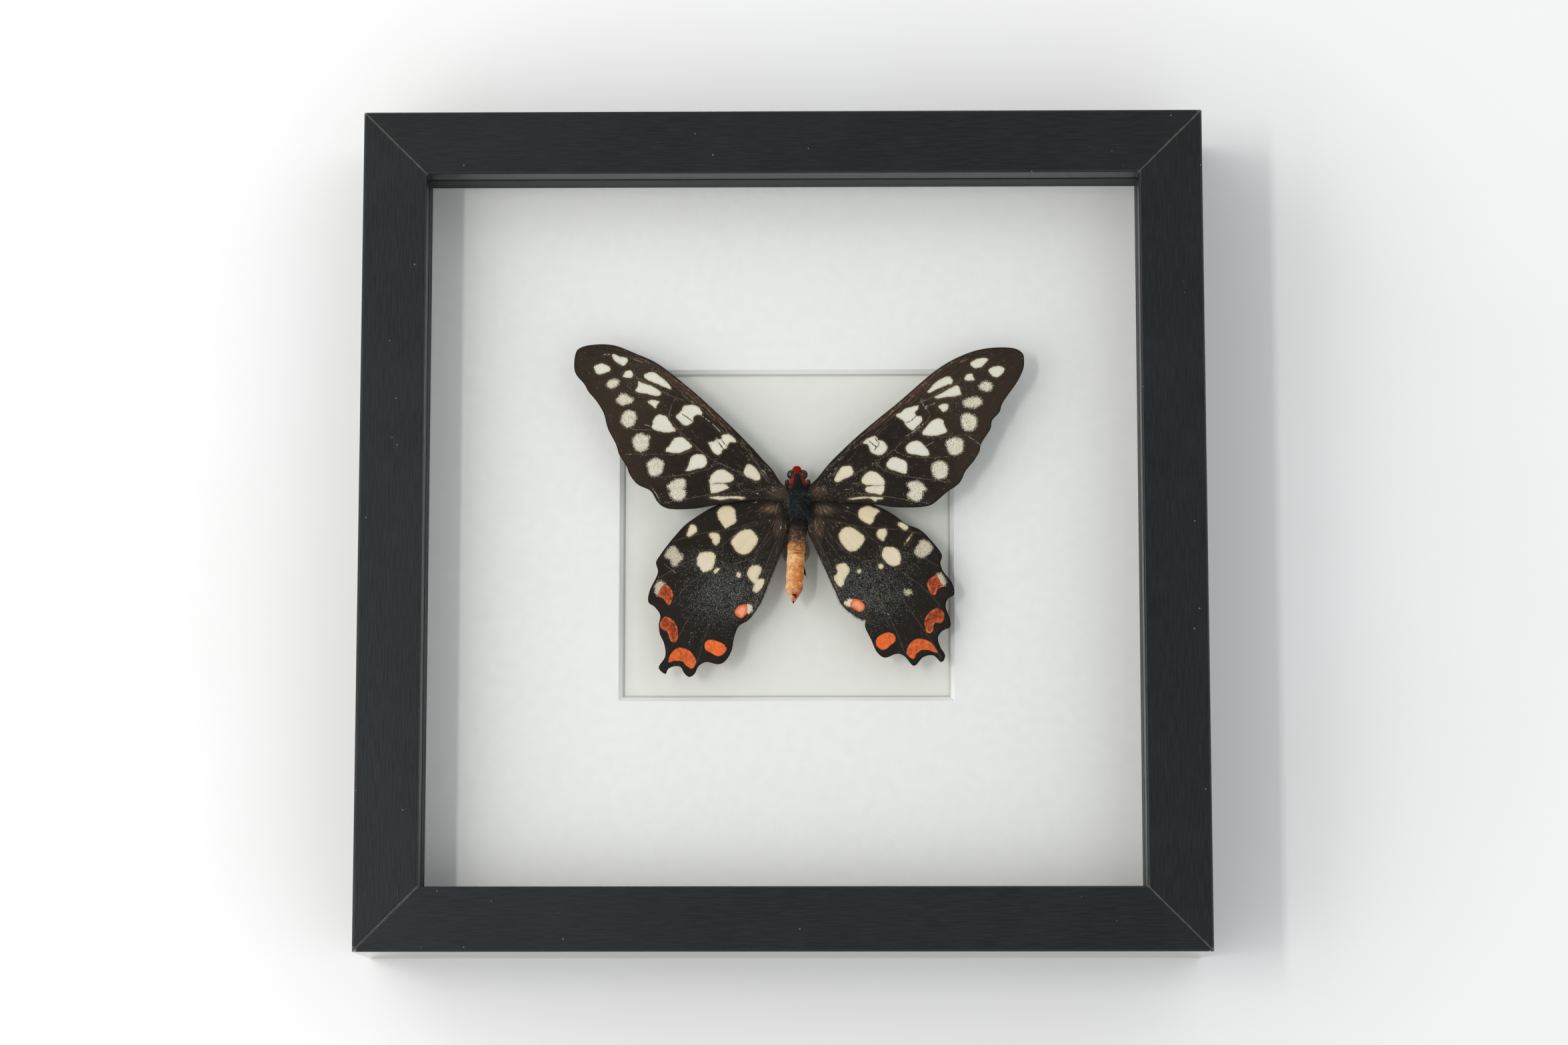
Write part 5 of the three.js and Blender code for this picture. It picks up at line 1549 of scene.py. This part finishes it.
class BuildFur(bpy.types.Operator):
    """Grows the fur of the thorax, the red hair of the head, and the hair at the wing bases"""

    bl_idname = "specimen.build_fur"
    bl_label = "Fur"

    def execute(self, context):
        settings = context.scene.specimen_body
        random = np.random.default_rng(7)
        body = bpy.data.objects["body_skin"]
        length = settings.fur_length

        def swirl(places):
            """Tufts that turn this way and that, over about 2 mm."""
            x, y = places[:, 0] / MM, places[:, 1] / MM
            turn = 2.6 * np.sin(1.5 * x + 1.3 * np.sin(0.8 * y)) + 2.1 * np.cos(1.2 * y + 0.7 * x) - 1.6
            return np.column_stack([np.cos(turn), np.sin(turn), np.zeros(len(x))])

        def coat(name, count, keep, flow, lift, reach, width, material, curl=0.0, spread=0.28, droop_z=-0.15):
            roots, normals = surface_spots(body, count, keep, random)
            flow = flow(roots) if callable(flow) else np.array(flow)
            way = normals * lift + flow + swirl(roots) * curl + random.normal(size=roots.shape) * spread
            long = reach * length * random.uniform(0.5, 1.25, len(roots))
            droop = np.array((0.0, -0.2, droop_z)) + random.normal(size=roots.shape) * 0.16
            hair_coat(name, roots - normals * 0.1 * MM, way, long, width * MM, droop, random, material)

        def outward(roots):
            """Away from the body's middle line, and a little to the rear."""
            side = np.sign(roots[:, 0] / MM - THORAX_MIDDLE)
            return np.column_stack([side * 1.3, -0.3 * np.ones(len(side)), 0.12 * np.ones(len(side))])

        def stripe(p, half):
            """The two stripes that run back from the eyes and apart."""
            behind = STRIPE_START - p[:, 1]
            centre = STRIPE_MIDDLE + behind * STRIPE_DRIFT
            away = abs(p[:, 0] - centre) - (STRIPE_AWAY + behind * STRIPE_SPREAD)
            return (behind < 4.0) & (behind > -0.5) & (abs(away) < half)

        black = hair_material("Thorax fur, blue-black", linear("#0b0f10"), settings.fur, 2.0, 0.5)
        brown = hair_material("Wing-base hair, brown", linear("#1d1612"), settings.tuft, 1.6, 0.65)
        waist = hair_material("Waist hair, dark brown", linear("#1b130e"), linear("#664a33"), 1.6, 0.65)
        straw = hair_material("Wing-base hair, straw", linear("#7d705d"), linear("#cfc4ae"), 1.0, 0.6)
        grey_sheen_fur_finish = hair_material("Thorax fur, grey tips and painted sheen", linear("#55646a"), linear("#93a0a3"), 1.0, 0.5)
        rust = hair_material("Collar hair, orange-red", linear("#8f1f14"), settings.rust, 0.9, 0.65)
        scarlet = hair_material("Face hair, scarlet", linear("#a3130c"), settings.scarlet, 0.8, 0.6)
        pink = hair_material("Palp hair, pale pink", linear("#8a3526"), linear("#dc9376"), 1.0, 0.65)
        coat("thorax_fur", 13000, lambda p, n: (p[:, 1] > 2.4) & (p[:, 1] < 13.9) & (n[:, 2] > -0.3),
             (0, -0.35, 0.1), 0.5, 0.85, 0.024, black, curl=0.75, spread=0.35)
        coat("neck_fur", 3500, lambda p, n: (p[:, 1] > 12.2) & (p[:, 1] < 17.4) & (n[:, 2] > -0.6)
             & ~stripe(p, 0.55),
             (0, -0.2, 0.1), 0.6, 0.34, 0.026, black)
        # Partly painted sheen: pale grey hairs only on the upward faces of the thorax stand in for the sheen
        # on its top, besides its own grey hair.
        coat("grey_sheen_fur", 900, lambda p, n: (p[:, 1] > 4.2) & (p[:, 1] < 12.6) & (n[:, 2] > 0.2),
             (0, -0.35, 0.1), 0.5, 0.95, 0.02, grey_sheen_fur_finish, curl=0.9, spread=0.4)
        coat("waist_hair", 3500, lambda p, n: (p[:, 1] > -0.6) & (p[:, 1] < 4.2) & (n[:, 2] > -0.5),
             (0, -0.8, 0), 0.3, 0.55, 0.02, waist)
        coat("flank_hair", 5200, lambda p, n: (p[:, 1] > 0.4) & (p[:, 1] < 13.6)
             & (abs(p[:, 0] - THORAX_MIDDLE) > 2.3) & (n[:, 2] > -0.25) & (n[:, 2] < 0.6),
             outward, 0.25, 1.1, 0.024, brown, droop_z=-0.05)
        coat("straw_hair", 300, lambda p, n: (n[:, 2] > -0.1) & (abs(p[:, 0] - THORAX_MIDDLE) > 2.2)
             & (((p[:, 0] > THORAX_MIDDLE) & (abs(p[:, 1] - 2.6) < 1.6))
                | ((p[:, 0] < THORAX_MIDDLE) & (abs(p[:, 1] - 9.6) < 2.2))),
             outward, 0.4, 1.0, 0.02, straw, spread=0.6)
        coat("collar_stripes", 4200, lambda p, n: stripe(p, 0.7) & (n[:, 2] > -0.4),
             (0, -0.55, 0.2), 0.8, 0.42, 0.026, rust)
        coat("face_tuft", 3200, lambda p, n: p[:, 1] > 18.0, (0, 0.1, 0.35), 0.8, 0.36, 0.026, scarlet)
        coat("palp_hair", 180, lambda p, n: (p[:, 1] > 17.3) & (p[:, 1] < 18.1) & (n[:, 2] > 0.0)
             & (abs(p[:, 0] - 4.15) < 0.9),
             (0, -0.2, 0.3), 0.5, 0.26, 0.024, pink)
        coat("abdomen_down", 3000, lambda p, n: (p[:, 1] < 0.5) & (p[:, 1] > -6.4) & (n[:, 2] > -0.5),
             (0, -1.0, 0), 0.3, 0.24, 0.014, waist)
        self.fringe(random, brown)
        return {"FINISHED"}

    def fringe(self, random, material):
        """A fringe of fine hairs on the inner margins of the hindwings, beside the abdomen."""
        for name, side in (("left_hindwing", 1), ("right_hindwing", -1)):
            wing = WINGS[name]
            line = spline(wing["outline"][wing["leading"]], 12, False)
            count = 700
            at = random.integers(0, len(line) - 1, count)
            along = line[at + 1] - line[at]
            places = line[at] + along * random.random((count, 1))
            reach = np.hypot(*(places - np.array(wing["root"])).T)
            root_level, tip_level, camber = wing["level"]
            part = np.minimum(1, reach / wing["span"])
            height = root_level + (tip_level - root_level) * part + camber * np.sin(np.pi * part)
            roots = np.column_stack([places, height]) * MM
            way = np.tile((side * 0.55, -1.0, 0.05), (count, 1))
            way = way + random.normal(size=way.shape) * 0.22
            hair_coat(
                name + "_fringe", roots, way, random.uniform(0.3, 0.9, count) * MM, 0.016 * MM,
                random.normal(size=way.shape) * 0.12, random, material, "hindwing")


class BuildLeg(bpy.types.Operator):
    """Builds the hind leg with its joints and bristles"""

    bl_idname = "specimen.build_leg"
    bl_label = "Hind leg"

    def execute(self, context):
        random = np.random.default_rng(11)
        leg = draw_out("leg_shell", [(y, x, z, r, r) for y, x, z, r in LEG_RINGS], 12)
        apply_modifier(leg, "SUBSURF", levels=1, render_levels=1)
        settle(leg, "leg", "hind_leg")
        dress(leg, leg_shell())
        roots, normals = surface_spots(leg, 900, lambda p, n: (p[:, 1] < -9) & (p[:, 1] > -12.6), random)
        way = normals + np.array((0, -1.2, 0)) + random.normal(size=roots.shape) * 0.2
        hair_coat(
            "leg_bristles", roots, way, random.uniform(0.2, 0.5, len(roots)) * MM, 0.018 * MM,
            np.zeros((len(roots), 3)), random, hair_material(
                "Leg bristles, black", linear("#0e0b0a"), linear("#2b211b"), 1.0, 0.5), "leg")
        return {"FINISHED"}


class FinishCase(bpy.types.Operator):
    """Gives the rails, glass, boards, panel and fittings their finishes"""

    bl_idname = "specimen.finish_case"
    bl_label = "Case finishes"

    def execute(self, context):
        settings = context.scene.specimen_case
        across = black_rail(settings, "X")
        upright = black_rail(settings, "Y")
        for side, finish in (("top", across), ("bottom", across), ("left", upright), ("right", upright)):
            dress_node("rail_" + side, finish)
        dress_node("glass_pane", picture_glass())
        # Black core paper on the spacers: fine fibres, no gloss.
        paper, _ = plain_stock(
            "Black paper", linear("#141617"), linear("#24282a"), 1.8, 4, 0.75, 0.05)
        # Raw softwood: straight grain 0.8 mm apart.
        softwood, _ = plain_stock(
            "Raw softwood", linear("#b99c70"), linear("#dcc6a0"), 0.9, 5, 0.8, 0.12, (0.1, 0.1, 1))
        for side in ("top", "bottom", "left", "right"):
            dress_node("front_spacer_" + side, paper)
            dress_node("rear_spacer_" + side, softwood)
        # Mat board: smooth white paper face, faint clouds.
        mat, mat_shader = plain_stock(
            "White mat board", settings.board, linear("#f2f3f3"), 0.35, 5, 0.85, 0.008)
        self.painted_bevel_shade(mat, mat_shader)
        dress_node("mat_board", mat)
        card, _ = plain_stock("Pale card", settings.card, linear("#e9eae5"), 0.3, 5, 0.85, 0.008)
        dress_node("backing_card", card)
        # Hardboard: pressed brown fibres, 1 to 3 mm long.
        hardboard, _ = plain_stock(
            "Brown hardboard", linear("#6f4e31"), linear("#9d7549"), 1.1, 8, 0.7, 0.15)
        dress_node("back_panel", hardboard)
        # Zinc-plated steel: spangled, brushed a little.
        zinc, zinc_shader = plain_stock(
            "Zinc-plated steel", linear("#9da3a5"), linear("#c3c8ca"), 0.8, 6, 0.38, 0.02, (0.2, 1, 1))
        feed(zinc, zinc_shader, "Metallic", 1.0)
        for i in range(1, 9):
            dress_node(f"retaining_tab_{i}", zinc)
        for name in ("hanger_plate", "hanger_rivet_left", "hanger_rivet_right"):
            dress_node(name, zinc)
        # Cork: brown grains 1 to 2 mm with dark gaps.
        cork, _ = plain_stock("Pressed cork", linear("#7d715f"), linear("#a2957f"), 1.2, 6, 0.9, 0.3)
        dress_node("mounting_block", cork)
        return {"FINISHED"}

    def painted_bevel_shade(self, mat, shader):
        """Painted shade: a grey line along the foot of the board's bevel, where the board meets the card."""
        white = shader.inputs["Base Color"].links[0].from_socket
        height = add_node(mat, "ShaderNodeSeparateXYZ", {0: object_millimetres(mat)}).outputs["Z"]
        # Painted shade: the lowest 0.2 mm of the bevel is greyed.
        shaded_foot = pattern_node(mat, "fade", height, 23.95, 23.75)
        feed(mat, shader, "Base Color", pattern_node(mat, "blend", shaded_foot, white, linear("#cccdc9")))


class BuildStage(bpy.types.Operator):
    """Lays the pale floor and sets the lights and the camera"""

    bl_idname = "specimen.build_stage"
    bl_label = "Studio"

    def execute(self, context):
        settings = context.scene.specimen_studio
        deselect_all()
        bpy.ops.mesh.primitive_plane_add(size=8, location=(0, 0, -0.0002))
        floor = bpy.context.object
        floor.name = "floor"
        bpy.ops.object.transform_apply(location=True, rotation=True, scale=True)
        finish, _ = plain_stock(
            "Matt white paper floor", settings.floor, linear("#f2f2f2"), 0.01, 3, 0.9, 0.01)
        dress(floor, finish)
        lamps = (
            ("key_light", (-1.5, 0.08, 2.9), (0.16, 1.12), settings.key_power, "#fffcf8"),
            ("left_light", (-0.88, 0.03, 0.68), (0.75, 1.8), settings.left_power, "#fffcf9"),
        )
        for name, place, (wide, long), power, tint in lamps:
            bpy.ops.object.light_add(type="AREA", location=place)
            lamp = bpy.context.object
            lamp.name = name
            lamp.data.shape = "RECTANGLE"
            lamp.data.size, lamp.data.size_y = wide, long
            lamp.data.energy = power
            lamp.data.color = linear(tint)
            away = math.atan2(place[0], place[2])
            lamp.rotation_euler = (0, away, 0)
            lamp.visible_camera = False
            # The broad light leaves no bright rectangle in the glass.
            lamp.visible_glossy = name == "key_light"
        bpy.ops.object.camera_add(location=(0.018, -0.176, settings.camera_distance))
        camera = bpy.context.object
        camera.name = "camera"
        aim = Vector((0.0005, 0.0007, 0.045))
        back = (camera.location - aim).normalized()
        right = Vector((0, 1, 0)).cross(back).normalized()
        upward = back.cross(right)
        camera.rotation_euler = Matrix((right, upward, back)).transposed().to_euler()
        camera.data.sensor_width = 36
        camera.data.lens = settings.lens
        camera.data.clip_start = 0.01
        context.scene.camera = camera
        context.scene.view_settings.view_transform = "Standard"
        context.scene.view_settings.look = "None"
        self.light_dome(context, settings)
        return {"FINISHED"}

    def light_dome(self, context, settings):
        """A white dome, brighter at the right, with a dark round opening overhead that the glass mirrors."""
        world = bpy.data.worlds.new("White dome")
        context.scene.world = world
        world.use_nodes = True
        world.node_tree.nodes.clear()
        way = add_node(world, "ShaderNodeTexCoord").outputs["Generated"]
        opening = Vector((-0.015, 0.145, 1)).normalized()
        facing = add_node(
            world, "ShaderNodeVectorMath", {0: way, 1: tuple(opening)},
            operation="DOT_PRODUCT").outputs["Value"]
        bright = add_node(
            world, "ShaderNodeMapRange",
            {"Value": facing, "From Min": math.cos(math.radians(13)), "From Max": math.cos(math.radians(26)),
             "To Min": 0.02, "To Max": settings.dome}, interpolation_type="SMOOTHSTEP")
        sideways = add_node(world, "ShaderNodeSeparateXYZ", {0: way}).outputs["X"]
        lean = add_node(
            world, "ShaderNodeMapRange",
            {"Value": sideways, "From Min": 0.0, "From Max": 1.0, "To Min": 1.0, "To Max": DOME_LEAN})
        bright = add_node(world, "ShaderNodeMath", {0: bright, 1: lean}, operation="MULTIPLY")
        shine = add_node(
            world, "ShaderNodeBackground", {"Color": linear("#f6f9fb"), "Strength": bright})
        add_node(world, "ShaderNodeOutputWorld", {"Surface": shine})


class SpecimenPanel(bpy.types.Panel):
    """Lists the pieces and their settings"""

    bl_idname = "VIEW3D_PT_specimen"
    bl_label = "Butterfly specimen"
    bl_space_type = "VIEW_3D"
    bl_region_type = "UI"
    bl_category = "Specimen"

    def draw(self, context):
        for group, operators in PANEL_ROWS:
            settings = getattr(context.scene, group)
            box = self.layout.box()
            for name in settings.bl_rna.properties.keys():
                if name not in ("rna_type", "name"):
                    box.prop(settings, name)
            for operator in operators:
                box.operator(operator.bl_idname)


GROUPS = {
    "specimen_wings": SpecimenWings, "specimen_body": SpecimenBody, "specimen_case": SpecimenCase,
    "specimen_studio": SpecimenStudio,
}
PANEL_ROWS = (
    ("specimen_wings", (BuildWings,)),
    ("specimen_body", (BuildBody, BuildFur, BuildLeg)),
    ("specimen_case", (FinishCase,)),
    ("specimen_studio", (BuildStage,)),
)
CLASSES = (*GROUPS.values(), BuildWings, BuildBody, BuildFur, BuildLeg, FinishCase, BuildStage, SpecimenPanel)


def register():
    for kind in CLASSES:
        bpy.utils.register_class(kind)
    for name, group in GROUPS.items():
        setattr(bpy.types.Scene, name, bpy.props.PointerProperty(type=group))


def unregister():
    for name in GROUPS:
        delattr(bpy.types.Scene, name)
    for kind in reversed(CLASSES):
        bpy.utils.unregister_class(kind)


def main():
    register()
    bpy.ops.specimen.finish_case()
    bpy.ops.specimen.build_wings()
    bpy.ops.specimen.build_body()
    bpy.ops.specimen.build_fur()
    bpy.ops.specimen.build_leg()
    bpy.ops.specimen.build_stage()


if __name__ == "__main__":
    main()
